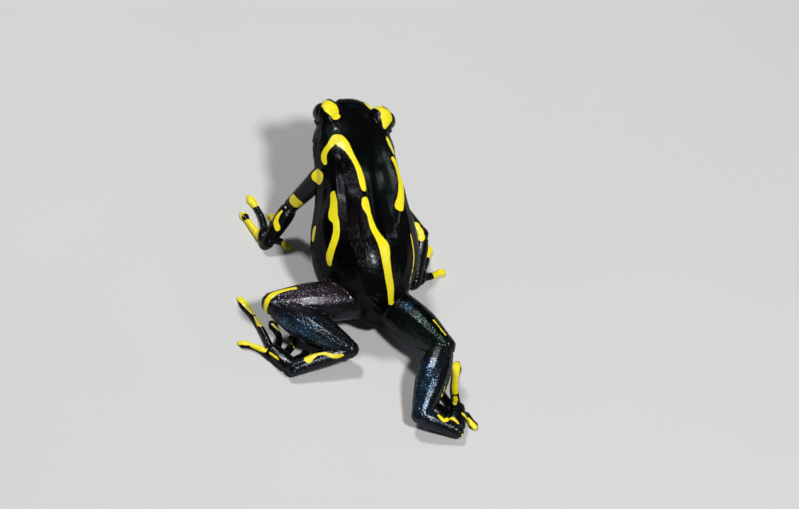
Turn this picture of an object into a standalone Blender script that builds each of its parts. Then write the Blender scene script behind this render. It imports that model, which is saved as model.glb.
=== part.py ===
"""Poison dart frog at life size: a still museum model of a slender adult, settled low with the left hind
leg folded and the right one stretched behind.

The frog faces +Y, its own right side is +X and the floor is z = 0. Lengths below are millimetres, and the
finished meshes are turned into metres at the end. The body follows one bent axis from vent to snout, and
each limb hangs from joint places that set the pose. Every piece is cut clear of what it meets by GAP.
"""

import math
from dataclasses import dataclass

import bmesh
import bpy
from mathutils import Matrix, Vector

METRES = 0.001
GAP = 0.3

# Body: length from vent to snout, the place of the neck parting, where the axis starts, and the middle of the
# flat that the belly rests on, which becomes the origin
SNOUT_VENT = 41.6
NECK = 29.0
VENT_PLACE = Vector((0.0, 0.0, 2.8))
BELLY_REST = Vector((0.2, 9.4, 0.0))
AXIS_STEP = 0.25
BODY_SIDES = 30
TORSO_RINGS = 21
HEAD_RINGS = 14

# How the axis points on its way forward: distance from the vent, then yaw, pitch and roll in degrees
AXIS_TURNS = (
    (0.0, 1.5, 34.0, 14.0),
    (8.0, 1.5, 29.0, 14.0),
    (16.0, -3.5, 23.0, 14.0),
    (22.0, -1.5, 21.0, 13.0),
    (26.0, -2.0, 18.0, 11.0),
    (30.0, -5.0, 8.0, 6.0),
    (33.0, -9.0, 0.0, 4.0),
    (36.0, -12.5, -4.0, 4.0),
    (SNOUT_VENT, -17.0, -13.0, 3.0),
)

# Sections of the body: distance from the vent, half width, back above the axis, belly below it and
# how square the section is (2 is an ellipse)
BODY_SECTIONS = (
    (0.0, 1.2, 1.0, 1.0, 2.0),
    (1.2, 3.0, 2.6, 2.4, 2.0),
    (3.0, 4.8, 4.3, 4.4, 2.1),
    (5.5, 6.6, 5.7, 6.9, 2.15),
    (8.5, 8.1, 6.6, 8.3, 2.2),
    (12.0, 8.9, 6.8, 8.4, 2.2),
    (15.5, 8.8, 6.3, 7.8, 2.2),
    (19.0, 8.0, 5.7, 6.9, 2.25),
    (22.5, 7.3, 5.2, 6.2, 2.3),
    (26.0, 6.9, 4.8, 5.4, 2.3),
    (29.0, 6.8, 4.4, 4.8, 2.3),
    (31.5, 6.6, 4.1, 4.4, 2.3),
    (34.0, 6.1, 3.8, 3.9, 2.4),
    (36.5, 5.0, 3.0, 3.5, 2.2),
    (38.7, 3.8, 2.45, 3.0, 2.2),
    (40.2, 2.8, 1.9, 2.3, 2.2),
    (41.1, 1.9, 1.3, 1.5, 2.1),
    (SNOUT_VENT, 0.9, 0.7, 0.7, 2.0),
)

# Low forms on the body: distance from the vent, angle from the back's midline, reach along, reach around
# in degrees, and height. Each is made on both sides
BODY_FORMS = (
    (21.0, 42.0, 7.0, 13.0, 0.45),
    (22.0, 74.0, 4.0, 14.0, -0.55),
    (11.0, 12.0, 3.5, 22.0, 0.35),
    (6.5, 55.0, 2.5, 20.0, -0.35),
    (37.5, 52.0, 3.2, 12.0, 0.30),
    (35.5, 103.0, 5.0, 9.0, 0.16),
)

# Head features, in the frame of the axis at the eyes: x right, y forward, z up
EYE_STATION = 34.8
EYE_RADIUS = 2.0
CORNEA_RADIUS = 1.5
CORNEA_REACH = 0.7
EYE_PLACE = Vector((4.7, 0.9, 1.8))
LID_RADIUS = 2.58
LID_PLACE = Vector((4.48, 0.9, 1.75))
LID_OPENING = 1.82
GAZE = Vector((0.92, 0.26, 0.20))
BROW_PLACE = Vector((4.4, 0.6, 2.35))
BROW_SIZE = Vector((1.9, 3.0, 1.8))
NOSTRIL_PLACE = Vector((2.25, 5.6, 0.8))
NOSTRIL_SIZE = Vector((0.30, 0.42, 0.30))
MOUTH_HEIGHT = -1.25
MOUTH_REACH = (-3.4, 9.0)
MOUTH_DEPTH = 0.45
MOUTH_WIDTH = 0.3
EAR_STATION = 30.9
EAR_ANGLE = 92.0
EAR_RADIUS = 0.95
EAR_GROOVE = 0.2
VENT_PIT = 0.35

# Limb girths: fraction of the way along, then radius
UPPER_ARM_GIRTHS = ((0.0, 1.9), (0.35, 1.5), (0.75, 1.25), (1.0, 1.25))
FOREARM_GIRTHS = ((0.0, 1.3), (0.3, 1.5), (0.7, 1.25), (1.0, 1.05))
THIGH_GIRTHS = ((0.0, 3.1), (0.3, 3.35), (0.6, 3.15), (0.88, 2.4), (1.0, 2.05))
SHANK_GIRTHS = ((0.0, 2.05), (0.3, 2.9), (0.55, 2.95), (0.85, 2.15), (1.0, 1.65))
TARSUS_GIRTHS = ((0.0, 1.5), (0.35, 1.5), (0.75, 1.3), (1.0, 1.25))
PALM_WIDTHS = ((0.0, 1.15), (0.5, 1.6), (1.0, 1.5))
SOLE_WIDTHS = ((0.0, 1.3), (0.5, 1.6), (1.0, 1.35))
PALM_FLATNESS = 0.72
SOLE_FLATNESS = 0.68
LIMB_SIDES = 14
LIMB_RINGS = 7
PALM_SIDES = 12
PALM_RINGS = 5

# A digit: fraction of the way along, then width and height as shares of its radius
DIGIT_FORM = (
    (0.0, 1.0, 1.0),
    (0.40, 0.90, 0.88),
    (0.74, 0.80, 0.76),
    (0.87, 1.28, 0.72),
    (0.96, 1.10, 0.60),
    (1.0, 0.75, 0.45),
)
FINGER_RADIUS = 0.68
TOE_RADIUS = 0.70
DIGIT_SIDES = 8
DIGIT_RINGS = 9
DIGIT_SINK = 0.82

# Pose: the place of each joint of each limb
ARMS = {
    "left": {
        "shoulder": (-6.0, 23.4, 13.2),
        "elbow": (-9.4, 24.6, 5.8),
        "wrist": (-13.5, 20.9, 1.35),
        "knuckles": (-13.2, 23.6, 0.85),
        "fingers": (
            ((-12.4, 22.4), (-11.0, 21.6), (-9.8, 20.3)),
            ((-12.2, 23.8), (-11.5, 25.8), (-11.2, 27.9)),
            ((-13.2, 24.2), (-13.1, 27.6), (-14.1, 32.2)),
            ((-14.3, 22.9), (-15.2, 25.6), (-16.0, 28.6)),
        ),
    },
    "right": {
        "shoulder": (4.4, 23.2, 10.4),
        "elbow": (10.5, 15.9, 6.3),
        "wrist": (8.9, 9.9, 1.35),
        "knuckles": (10.2, 12.4, 0.85),
        "fingers": (
            ((9.3, 11.9), (8.9, 13.9), (9.0, 15.7)),
            ((10.0, 13.0), (10.6, 15.2), (10.9, 17.4)),
            ((10.8, 12.9), (12.1, 15.2), (13.3, 18.4)),
            ((10.9, 11.6), (12.7, 12.0), (14.6, 12.9)),
        ),
    },
}
LEGS = {
    "left": {
        "fullness": 1.0,
        "hip": (-3.5, 3.4, 5.5),
        "knee": (-17.1, 2.8, 6.8),
        "heel": (-5.8, -4.9, 3.1),
        "ankle": (-15.1, -6.7, 1.25),
        "knuckles": (-17.5, -2.0, 0.85),
        "toes": (
            ((-15.0, -4.6), (-13.2, -3.6), (-11.8, -2.6)),
            ((-15.8, -3.0), (-13.9, -0.9), (-13.1, 1.5)),
            ((-16.8, -1.8), (-15.8, 1.2), (-16.3, 4.6)),
            ((-17.7, -1.6), (-18.5, 3.6), (-20.4, 10.2)),
            ((-17.9, -3.4), (-19.6, -1.2), (-22.5, 0.6)),
        ),
    },
    "right": {
        "fullness": 0.92,
        "hip": (2.9, 3.1, 4.2),
        "knee": (8.6, -8.9, 6.6),
        "heel": (2.9, -19.9, 2.9),
        "ankle": (8.6, -22.4, 1.25),
        "knuckles": (9.9, -17.0, 0.85),
        "toes": (
            ((7.9, -20.2), (6.2, -19.0), (4.9, -18.0)),
            ((8.3, -18.2), (6.8, -15.8), (6.2, -13.5)),
            ((9.2, -16.9), (8.3, -13.6), (8.6, -10.4)),
            ((10.1, -16.4), (10.7, -12.2), (12.3, -7.1)),
            ((10.3, -18.2), (11.3, -18.9), (12.1, -21.3)),
        ),
    },
}

SKIN_COLOUR = (0.012, 0.013, 0.018, 1.0)
LEG_COLOUR = (0.014, 0.022, 0.040, 1.0)
YELLOW_COLOUR = (0.90, 0.80, 0.02, 1.0)
EYE_COLOUR = (0.004, 0.004, 0.004, 1.0)
YELLOW_DIGITS = ("finger_left_4", "toe_left_5", "toe_left_4", "toe_right_4", "toe_right_5")


@dataclass
class Ring:
    """One section of a lofted form: where it is, how it faces and how far it reaches."""

    centre: Vector
    right: Vector
    up: Vector
    half_width: float
    rise: float
    drop: float
    power: float = 2.0
    forms: tuple = ()


def smooth_value(table, place, column):
    """Read a column of a table at a place between its rows, on a smooth curve through them."""
    rows = [row[0] for row in table]
    values = [row[column] for row in table]
    last = len(rows) - 1
    place = min(max(place, rows[0]), rows[last])
    i = max(k for k in range(last) if rows[k] <= place)

    def slope(k):
        low, high = max(k - 1, 0), min(k + 1, last)
        return (values[high] - values[low]) / (rows[high] - rows[low])

    span = rows[i + 1] - rows[i]
    t = (place - rows[i]) / span
    start = (2 * t**3 - 3 * t**2 + 1) * values[i] + (t**3 - 2 * t**2 + t) * span * slope(i)
    end = (3 * t**2 - 2 * t**3) * values[i + 1] + (t**3 - t**2) * span * slope(i + 1)
    return start + end


def axis_facing(place):
    """Give the axis frame at a distance from the vent, as a 3 x 3 matrix of right, forward and up."""
    yaw, pitch, roll = (math.radians(smooth_value(AXIS_TURNS, place, c)) for c in (1, 2, 3))
    turn = Matrix.Rotation(yaw, 3, "Z") @ Matrix.Rotation(pitch, 3, "X")
    return turn @ Matrix.Rotation(roll, 3, "Y")


def axis_places():
    """Walk along the axis and give its place at every step from the vent to the snout."""
    places = [VENT_PLACE.copy()]
    for k in range(int(SNOUT_VENT / AXIS_STEP)):
        forward = axis_facing((k + 0.5) * AXIS_STEP).col[1]
        places.append(places[-1] + forward * AXIS_STEP)
    return places


AXIS = axis_places()


def axis_point(place):
    """Give the axis place at a distance from the vent."""
    steps = place / AXIS_STEP
    k = min(int(steps), len(AXIS) - 2)
    return AXIS[k].lerp(AXIS[k + 1], steps - k)


def body_ring(place):
    """Give the body's section at a distance from the vent."""
    facing = axis_facing(place)
    half_width, rise, drop, power = (smooth_value(BODY_SECTIONS, place, c) for c in (1, 2, 3, 4))
    forms = tuple(
        (math.radians(side * angle), math.radians(around), height * math.exp(-(((place - along) / reach) ** 2)))
        for along, angle, reach, around, height in BODY_FORMS
        for side in (-1, 1)
    )
    return Ring(axis_point(place), facing.col[0], facing.col[2], half_width, rise, drop, power, forms)


def rounded(value, power):
    """Raise a sine or cosine to the power that squares an ellipse off, keeping its sign."""
    return math.copysign(abs(value) ** (2.0 / power), value)


def ring_point(ring, angle, grow=0.0):
    """Give the point of a ring at an angle from its top, clockwise as seen from behind."""
    reach = ring.rise if math.cos(angle) > 0 else ring.drop
    offset = ring.right * (ring.half_width + grow) * rounded(math.sin(angle), ring.power)
    offset += ring.up * (reach + grow) * rounded(math.cos(angle), ring.power)
    lift = 0.0
    for middle, around, height in ring.forms:
        apart = math.remainder(angle - middle, 2 * math.pi)
        lift += height * math.exp(-((apart / around) ** 2))
    return ring.centre + offset + offset.normalized() * lift


def loft(rings, sides, grow=0.0, tail=None, nose=None):
    """Skin a row of rings into a closed mesh, with a pole at an end that has one and a flat there if not."""
    bm = bmesh.new()
    rows = []
    for ring in rings:
        points = [ring_point(ring, 2 * math.pi * k / sides, grow) for k in range(sides)]
        rows.append([bm.verts.new(point) for point in points])
    for near, far in zip(rows, rows[1:]):
        for k in range(sides):
            bm.faces.new((near[k], near[(k + 1) % sides], far[(k + 1) % sides], far[k]))
    for row, pole in ((rows[0], tail), (rows[-1], nose)):
        if pole is None:
            bm.faces.new(row)
            continue
        tip = bm.verts.new(pole)
        for k in range(sides):
            bm.faces.new((row[k], row[(k + 1) % sides], tip))
    bmesh.ops.recalc_face_normals(bm, faces=bm.faces)
    return bm


def spline_point(points, fraction):
    """Give the point at a fraction of the way along a smooth curve through some points."""
    place = fraction * (len(points) - 1)
    table = [(float(k), *point) for k, point in enumerate(points)]
    return Vector([smooth_value(table, place, c) for c in (1, 2, 3)])


def tube_rings(points, table, flatness, count):
    """Give the rings of a limb along a path, with its radii read from a table of fractions."""
    rings = []
    for k in range(count + 1):
        fraction = k / count
        centre = spline_point(points, fraction)
        ahead = spline_point(points, min(fraction + 0.01, 1.0))
        behind = spline_point(points, max(fraction - 0.01, 0.0))
        forward = (ahead - behind).normalized()
        right = forward.cross(Vector((0.0, 0.0, 1.0))).normalized()
        up = right.cross(forward)
        width = smooth_value(table, fraction, 1)
        height = smooth_value(table, fraction, 2) if len(table[0]) > 2 else width * flatness
        rings.append(Ring(centre, right, up, width, height, height))
    return rings


def domed(rings, grow, steps=3):
    """Round both ends of a limb off, and give its rings with the two poles."""
    ends = []
    poles = []
    for ring, inner in ((rings[0], rings[1]), (rings[-1], rings[-2])):
        outward = (ring.centre - inner.centre).normalized()
        reach = min(ring.half_width, ring.rise) + grow
        caps = []
        for k in range(1, steps):
            angle = math.pi / 2 * k / steps
            scale = math.cos(angle)
            width = (ring.half_width + grow) * scale - grow
            height = (ring.rise + grow) * scale - grow
            centre = ring.centre + outward * reach * math.sin(angle)
            caps.append(Ring(centre, ring.right, ring.up, width, height, height))
        ends.append(caps)
        poles.append(ring.centre + outward * reach)
    return ends[0][::-1] + rings + ends[1], poles


def tube(points, table, sides, count, flatness=1.0, grow=0.0):
    """Make a limb piece with round ends along a path."""
    rings, poles = domed(tube_rings(points, table, flatness, count), grow)
    return loft(rings, sides, grow, poles[0], poles[1])


def place_object(name, bm, colour, roughness=0.3):
    """Turn a mesh into a named object with its own material, smooth over its round parts."""
    mesh = bpy.data.meshes.new(name)
    bm.to_mesh(mesh)
    bm.free()
    obj = bpy.data.objects.new(name, mesh)
    bpy.context.scene.collection.objects.link(obj)
    material = bpy.data.materials.new(name)
    material.use_nodes = True
    shader = material.node_tree.nodes["Principled BSDF"]
    shader.inputs["Base Color"].default_value = colour
    shader.inputs["Roughness"].default_value = roughness
    mesh.materials.append(material)
    return obj


def boolean(obj, others, operation, solver="EXACT"):
    """Cut other objects from one, or join them to it, apply the result and remove the others."""
    for other in others:
        modifier = obj.modifiers.new(operation, "BOOLEAN")
        modifier.solver = solver
        modifier.operation = operation
        modifier.object = other
    depsgraph = bpy.context.evaluated_depsgraph_get()
    mesh = bpy.data.meshes.new_from_object(obj.evaluated_get(depsgraph))
    obj.modifiers.clear()
    obj.data = mesh
    for other in others:
        bpy.data.objects.remove(other)


def keep_largest(obj):
    """Keep only the largest closed surface of an object."""
    bm = bmesh.new()
    bm.from_mesh(obj.data)
    left = set(bm.faces)
    shells = []
    while left:
        reached = {left.pop()}
        front = list(reached)
        while front:
            face = front.pop()
            for edge in face.edges:
                for other in edge.link_faces:
                    if other in left:
                        left.remove(other)
                        reached.add(other)
                        front.append(other)
        shells.append(reached)
    shells.sort(key=lambda shell: sum(face.calc_area() for face in shell))
    spare = [face for shell in shells[:-1] for face in shell]
    bmesh.ops.delete(bm, geom=spare, context="FACES")
    bmesh.ops.delete(bm, geom=[v for v in bm.verts if not v.link_faces], context="VERTS")
    bm.to_mesh(obj.data)
    bm.free()


def cut_at_floor(bm):
    """Cut what reaches below the floor off a mesh and close it with a flat."""
    geometry = bm.verts[:] + bm.edges[:] + bm.faces[:]
    bmesh.ops.bisect_plane(bm, geom=geometry, plane_co=(0, 0, 0), plane_no=(0, 0, 1), clear_inner=True)
    bmesh.ops.holes_fill(bm, edges=[edge for edge in bm.edges if edge.is_boundary])
    bmesh.ops.recalc_face_normals(bm, faces=bm.faces)


def ball(size, place, facing=None, segments=18):
    """Make a ball or an ellipsoid at a place, turned by a facing."""
    bm = bmesh.new()
    turn = (facing or Matrix.Identity(3)).to_4x4()
    shape = Matrix.Translation(place) @ turn @ Matrix.Diagonal((*size, 1.0))
    bmesh.ops.create_uvsphere(bm, u_segments=segments, v_segments=segments // 2, radius=1.0, matrix=shape)
    return bm


def helper(name, bm):
    """Make a hidden object from a mesh, to cut or join with."""
    mesh = bpy.data.meshes.new(name)
    bm.to_mesh(mesh)
    bm.free()
    obj = bpy.data.objects.new(name, mesh)
    obj.hide_render = True
    obj.display_type = "WIRE"
    bpy.context.scene.collection.objects.link(obj)
    return obj


class Frog:
    """Builds the frog node by node, and keeps what each later piece has to be clear of."""

    def __init__(self):
        self.solids = []

    def box_of(self, shape, grow):
        """Give the corners of the box round a mesh, grown by a margin."""
        points = [vert.co for vert in shape.verts]
        low = [min(p[c] for p in points) - grow for c in range(3)]
        high = [max(p[c] for p in points) + grow for c in range(3)]
        return low, high

    def add(self, name, make, colour):
        """Make a piece, flatten it on the floor and cut it clear of the pieces before it that it reaches."""
        shape = make(0.0)
        cut_at_floor(shape)
        low, high = self.box_of(shape, 0.0)
        obj = place_object(name, shape, colour)
        cutters = []
        for other, other_make, other_low, other_high in self.solids:
            if all(low[c] < other_high[c] and other_low[c] < high[c] for c in range(3)):
                cutters.append(helper(f"clear_{other}", other_make(GAP)))
        if cutters:
            boolean(obj, cutters, "DIFFERENCE")
            keep_largest(obj)
        self.solids.append((name, make, *self.box_of(make(GAP), 0.0)))
        obj.data.shade_smooth()
        return obj


def torso_shape(grow):
    """Make the torso from vent to neck."""
    end = NECK - GAP / 2 + grow
    places = [0.3 + (end - 0.3) * k / TORSO_RINGS for k in range(TORSO_RINGS + 1)]
    rings = [body_ring(place) for place in places]
    tail = axis_point(0.0) - axis_facing(0.0).col[1] * (0.4 + grow)
    return loft(rings, BODY_SIDES, grow, tail)


def head_shape(grow):
    """Make the head from neck to snout."""
    start = NECK + GAP / 2 - grow
    end = SNOUT_VENT - 0.1
    places = [start + (end - start) * (k / HEAD_RINGS) ** 0.85 for k in range(HEAD_RINGS + 1)]
    rings = [body_ring(place) for place in places]
    nose = axis_point(SNOUT_VENT) + axis_facing(SNOUT_VENT).col[1] * (0.15 + grow)
    return loft(rings, BODY_SIDES, grow, None, nose)


def head_point(place, side):
    """Give the world place of a head feature, mirrored to a side."""
    facing = axis_facing(EYE_STATION)
    return axis_point(EYE_STATION) + facing @ Vector((place.x * side, place.y, place.z))


def gaze_facing(side):
    """Give the frame whose z axis looks out of an eye."""
    facing = axis_facing(EYE_STATION)
    gaze = facing @ Vector((GAZE.x * side, GAZE.y, GAZE.z))
    return gaze.to_track_quat("Z", "Y").to_matrix()


def eye_shape(side, grow):
    """Make an eyeball with its cornea standing proud."""
    gaze = gaze_facing(side)
    centre = head_point(EYE_PLACE, side)
    radius = EYE_RADIUS + grow
    return ball(Vector((radius, radius, radius)), centre, gaze)


def head_details(head):
    """Give the head its brows, lids, sockets, nostrils, ears and the line of the mouth."""
    facing = axis_facing(EYE_STATION)
    for side in (-1, 1):
        lid_size = Vector((LID_RADIUS, LID_RADIUS, LID_RADIUS))
        lid = helper("lid", ball(lid_size, head_point(LID_PLACE, side), gaze_facing(side)))
        brow = helper("brow", ball(BROW_SIZE, head_point(BROW_PLACE, side), facing))
        boolean(head, [lid, brow], "UNION", "MANIFOLD")
    cutters = []
    for side in (-1, 1):
        gaze = gaze_facing(side)
        centre = head_point(EYE_PLACE, side)
        cutters.append(helper("socket", eye_shape(side, GAP)))
        opening = bmesh.new()
        middle = Matrix.Translation(centre + gaze.col[2] * LID_RADIUS) @ gaze.to_4x4()
        bmesh.ops.create_cone(
            opening,
            cap_ends=True,
            segments=24,
            radius1=LID_OPENING,
            radius2=LID_OPENING,
            depth=2 * LID_RADIUS,
            matrix=middle,
        )
        cutters.append(helper("opening", opening))
        cutters.append(helper("nostril", ball(NOSTRIL_SIZE, head_point(NOSTRIL_PLACE, side), facing, 10)))
        cutters.append(helper("ear", ear_groove(side)))
    cutters.append(mouth_cutter(facing))
    boolean(head, cutters, "DIFFERENCE", "MANIFOLD")


def ear_groove(side):
    """Make the ring that is cut round an eardrum."""
    ring = body_ring(EAR_STATION)
    angle = math.radians(EAR_ANGLE * side)
    centre = ring_point(ring, angle)
    outward = (centre - ring.centre).normalized()
    facing = outward.to_track_quat("Z", "Y").to_matrix()
    bm = bmesh.new()
    turns, sides = 18, 6
    rows = []
    for k in range(turns):
        along = 2 * math.pi * k / turns
        spoke = facing.col[0] * math.cos(along) + facing.col[1] * math.sin(along)
        row = []
        for n in range(sides):
            around = 2 * math.pi * n / sides
            place = centre + spoke * (EAR_RADIUS + EAR_GROOVE * math.cos(around))
            row.append(bm.verts.new(place + outward * EAR_GROOVE * math.sin(around)))
        rows.append(row)
    for k in range(turns):
        near, far = rows[k], rows[(k + 1) % turns]
        for n in range(sides):
            bm.faces.new((near[n], near[(n + 1) % sides], far[(n + 1) % sides], far[n]))
    bmesh.ops.recalc_face_normals(bm, faces=bm.faces)
    return bm


def mouth_cutter(facing):
    """Make the thin slot that parts the lips, as deep as the mouth's line is."""
    back, front = MOUTH_REACH
    bm = bmesh.new()
    centre = axis_point(EYE_STATION) + facing @ Vector((0.0, (back + front) / 2, MOUTH_HEIGHT))
    size = Matrix.Diagonal((4 * BODY_SECTIONS[9][1], front - back, MOUTH_WIDTH, 1.0))
    place = Matrix.Translation(centre) @ facing.to_4x4() @ size
    bmesh.ops.create_cube(bm, size=1.0, matrix=place)
    slot = helper("mouth", bm)
    boolean(slot, [helper("mouth_core", head_shape(-MOUTH_DEPTH))], "DIFFERENCE", "MANIFOLD")
    return slot


def build_body(frog):
    """Make the torso, the head and the eyes."""
    torso = frog.add("torso", torso_shape, SKIN_COLOUR)
    pit = helper("vent", ball(Vector((VENT_PIT, VENT_PIT, VENT_PIT)), axis_point(0.0), None, 10))
    pit.location = -axis_facing(0.0).col[1] * 0.45
    boolean(torso, [pit], "DIFFERENCE")
    head = frog.add("head", head_shape, SKIN_COLOUR)
    head_details(head)
    keep_largest(head)
    for name, side in (("left", -1), ("right", 1)):
        eye = eye_shape(side, 0.0)
        obj = place_object(f"eye_{name}", eye, EYE_COLOUR, 0.05)
        gaze = gaze_facing(side)
        centre = head_point(EYE_PLACE, side) + gaze.col[2] * CORNEA_REACH
        size = Vector((CORNEA_RADIUS, CORNEA_RADIUS, CORNEA_RADIUS))
        boolean(obj, [helper("cornea", ball(size, centre, gaze))], "UNION")
        obj.data.shade_smooth()


def limb(points, girths):
    """Give the maker of a limb piece between joint places."""
    path = [Vector(point) for point in points]
    return lambda grow: tube(path, girths, LIMB_SIDES, LIMB_RINGS, 1.0, grow)


def pad(points, widths, flatness):
    """Give the maker of a palm or a sole."""
    path = [Vector(point) for point in points]
    return lambda grow: tube(path, widths, PALM_SIDES, PALM_RINGS, flatness, grow)


def digit(flat_points, radius):
    """Give the maker of a finger or toe that lies on the floor, from its places seen from above."""
    heights = [smooth_value(DIGIT_FORM, fraction, 2) * radius * DIGIT_SINK for fraction in (0.0, 0.5, 1.0)]
    path = [Vector((x, y, height)) for (x, y), height in zip(flat_points, heights)]
    table = [(fraction, width * radius, height * radius) for fraction, width, height in DIGIT_FORM]
    return lambda grow: tube(path, table, DIGIT_SIDES, DIGIT_RINGS, 1.0, grow)


def digit_colour(name):
    """Give the colour of a digit."""
    return YELLOW_COLOUR if name in YELLOW_DIGITS else SKIN_COLOUR


def build_arm(frog, side):
    """Make an arm from the shoulder to the finger discs."""
    arm = ARMS[side]
    shoulder, elbow, wrist, knuckles = (arm[name] for name in ("shoulder", "elbow", "wrist", "knuckles"))
    frog.add(f"upper_arm_{side}", limb((shoulder, elbow), UPPER_ARM_GIRTHS), SKIN_COLOUR)
    frog.add(f"forearm_{side}", limb((elbow, wrist), FOREARM_GIRTHS), SKIN_COLOUR)
    frog.add(f"hand_{side}", pad((wrist, knuckles), PALM_WIDTHS, PALM_FLATNESS), SKIN_COLOUR)
    for number, places in enumerate(arm["fingers"], 1):
        name = f"finger_{side}_{number}"
        frog.add(name, digit(places, FINGER_RADIUS), digit_colour(name))


def build_leg(frog, side):
    """Make a leg from the hip to the toe discs."""
    leg = LEGS[side]
    hip, knee, heel, ankle, knuckles = (leg[name] for name in ("hip", "knee", "heel", "ankle", "knuckles"))
    shank_girths = [(along, girth * leg["fullness"]) for along, girth in SHANK_GIRTHS]
    frog.add(f"thigh_{side}", limb((hip, knee), THIGH_GIRTHS), LEG_COLOUR)
    frog.add(f"shank_{side}", limb((knee, heel), shank_girths), LEG_COLOUR)
    frog.add(f"tarsus_{side}", limb((heel, ankle), TARSUS_GIRTHS), LEG_COLOUR)
    frog.add(f"foot_{side}", pad((ankle, knuckles), SOLE_WIDTHS, SOLE_FLATNESS), SKIN_COLOUR)
    for number, places in enumerate(leg["toes"], 1):
        name = f"toe_{side}_{number}"
        frog.add(name, digit(places, TOE_RADIUS), digit_colour(name))


def main():
    """Clear the scene and build the frog."""
    for obj in list(bpy.data.objects):
        bpy.data.objects.remove(obj)
    frog = Frog()
    build_body(frog)
    for side in ("left", "right"):
        build_arm(frog, side)
        build_leg(frog, side)
    for obj in bpy.data.objects:
        obj.data.transform(Matrix.Scale(METRES, 4) @ Matrix.Translation(-BELLY_REST))


main()
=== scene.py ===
"""Poison dart frog, still life-size model: its skin, eyes, markings, light and camera.

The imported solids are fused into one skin, which is then sculpted, marked and given its finish. The eyes stay
apart from it. Lengths are millimetres while a form is worked on, and metres once it is in the scene.
"""

from __future__ import annotations

import logging
import math
from dataclasses import dataclass
from enum import Enum
from typing import Iterable, Sequence

import bmesh
import bpy
import numpy as np
from mathutils import Matrix, Vector
from mathutils.bvhtree import BVHTree

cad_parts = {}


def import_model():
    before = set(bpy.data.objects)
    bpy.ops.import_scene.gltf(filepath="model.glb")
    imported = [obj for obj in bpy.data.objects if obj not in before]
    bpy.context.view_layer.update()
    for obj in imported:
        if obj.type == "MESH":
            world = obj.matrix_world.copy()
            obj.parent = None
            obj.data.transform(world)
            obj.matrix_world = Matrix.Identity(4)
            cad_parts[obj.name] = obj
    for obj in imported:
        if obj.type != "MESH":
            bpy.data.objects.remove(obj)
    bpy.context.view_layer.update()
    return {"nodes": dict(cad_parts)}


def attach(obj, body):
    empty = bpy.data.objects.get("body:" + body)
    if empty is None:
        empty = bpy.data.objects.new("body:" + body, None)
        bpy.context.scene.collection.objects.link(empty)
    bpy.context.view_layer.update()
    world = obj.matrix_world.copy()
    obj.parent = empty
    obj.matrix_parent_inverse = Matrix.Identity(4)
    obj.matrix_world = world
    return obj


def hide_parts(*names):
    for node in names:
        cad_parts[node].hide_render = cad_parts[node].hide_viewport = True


LOG = logging.getLogger("frog")
METRES = 0.001
Triple = tuple[float, float, float]


class Side(Enum):
    """One side of the frog, with the sign of its x."""

    LEFT = -1
    RIGHT = 1

    @property
    def label(self) -> str:
        """Name the side as the nodes do."""
        return self.name.lower()


@dataclass(frozen=True)
class PhotoView:
    """The photograph's view: its axes, scale and frame."""

    right: Vector = Vector((0.9666644, -0.2161626, 0.1372358))
    up: Vector = Vector((0.0686063, 0.7350475, 0.6745357))
    toward: Vector = Vector((-0.2466842, -0.6426344, 0.7253744))
    pixel: float = 0.163
    origin_pixel: tuple[float, float] = (363.02, 294.23)
    frame: tuple[int, int] = (799, 509)
    distance: float = 2000.0
    sensor: float = 36.0
    clip: tuple[float, float] = (0.05, 20.0)

    @property
    def aim(self) -> Vector:
        """Give the place at the middle of the frame."""
        return self.on_plane(self.frame[0] / 2, self.frame[1] / 2)

    def on_plane(self, x: float, y: float) -> Vector:
        """Give the place of a pixel on the plane through the origin that faces the camera.

        Args:
            x: Pixels from the frame's left.
            y: Pixels from the frame's top.

        Returns:
            A place in millimetres.
        """
        across = (x - self.origin_pixel[0]) * self.pixel
        above = (self.origin_pixel[1] - y) * self.pixel
        return self.right * across + self.up * above

    def ray(self, x: float, y: float) -> tuple[Vector, Vector]:
        """Give the eye point and the direction of a pixel's ray."""
        start = self.aim + self.toward * self.distance
        return start, (self.on_plane(x, y) - start).normalized()

    def add_camera(self) -> bpy.types.Object:
        """Put the camera where the photograph was taken from.

        Returns:
            The camera's object.
        """
        data = bpy.data.cameras.new("camera")
        data.sensor_width = self.sensor
        data.lens = self.sensor * self.distance / (self.frame[0] * self.pixel)
        data.clip_start, data.clip_end = self.clip
        camera = placed(data)
        turn = Matrix((self.right, self.up, self.toward)).transposed().to_4x4()
        place = (self.aim + self.toward * self.distance) * METRES
        camera.matrix_world = Matrix.Translation(place) @ turn
        bpy.context.scene.camera = camera
        return camera


@dataclass(frozen=True)
class Limb:
    """One arm or leg: the places of its joints and the girth at each, then its digits' middles and tips."""

    side: Side
    kind: str
    joints: tuple[Triple, ...]
    girths: tuple[float, ...]
    digits: tuple[tuple[tuple[float, float], ...], ...]


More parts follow.
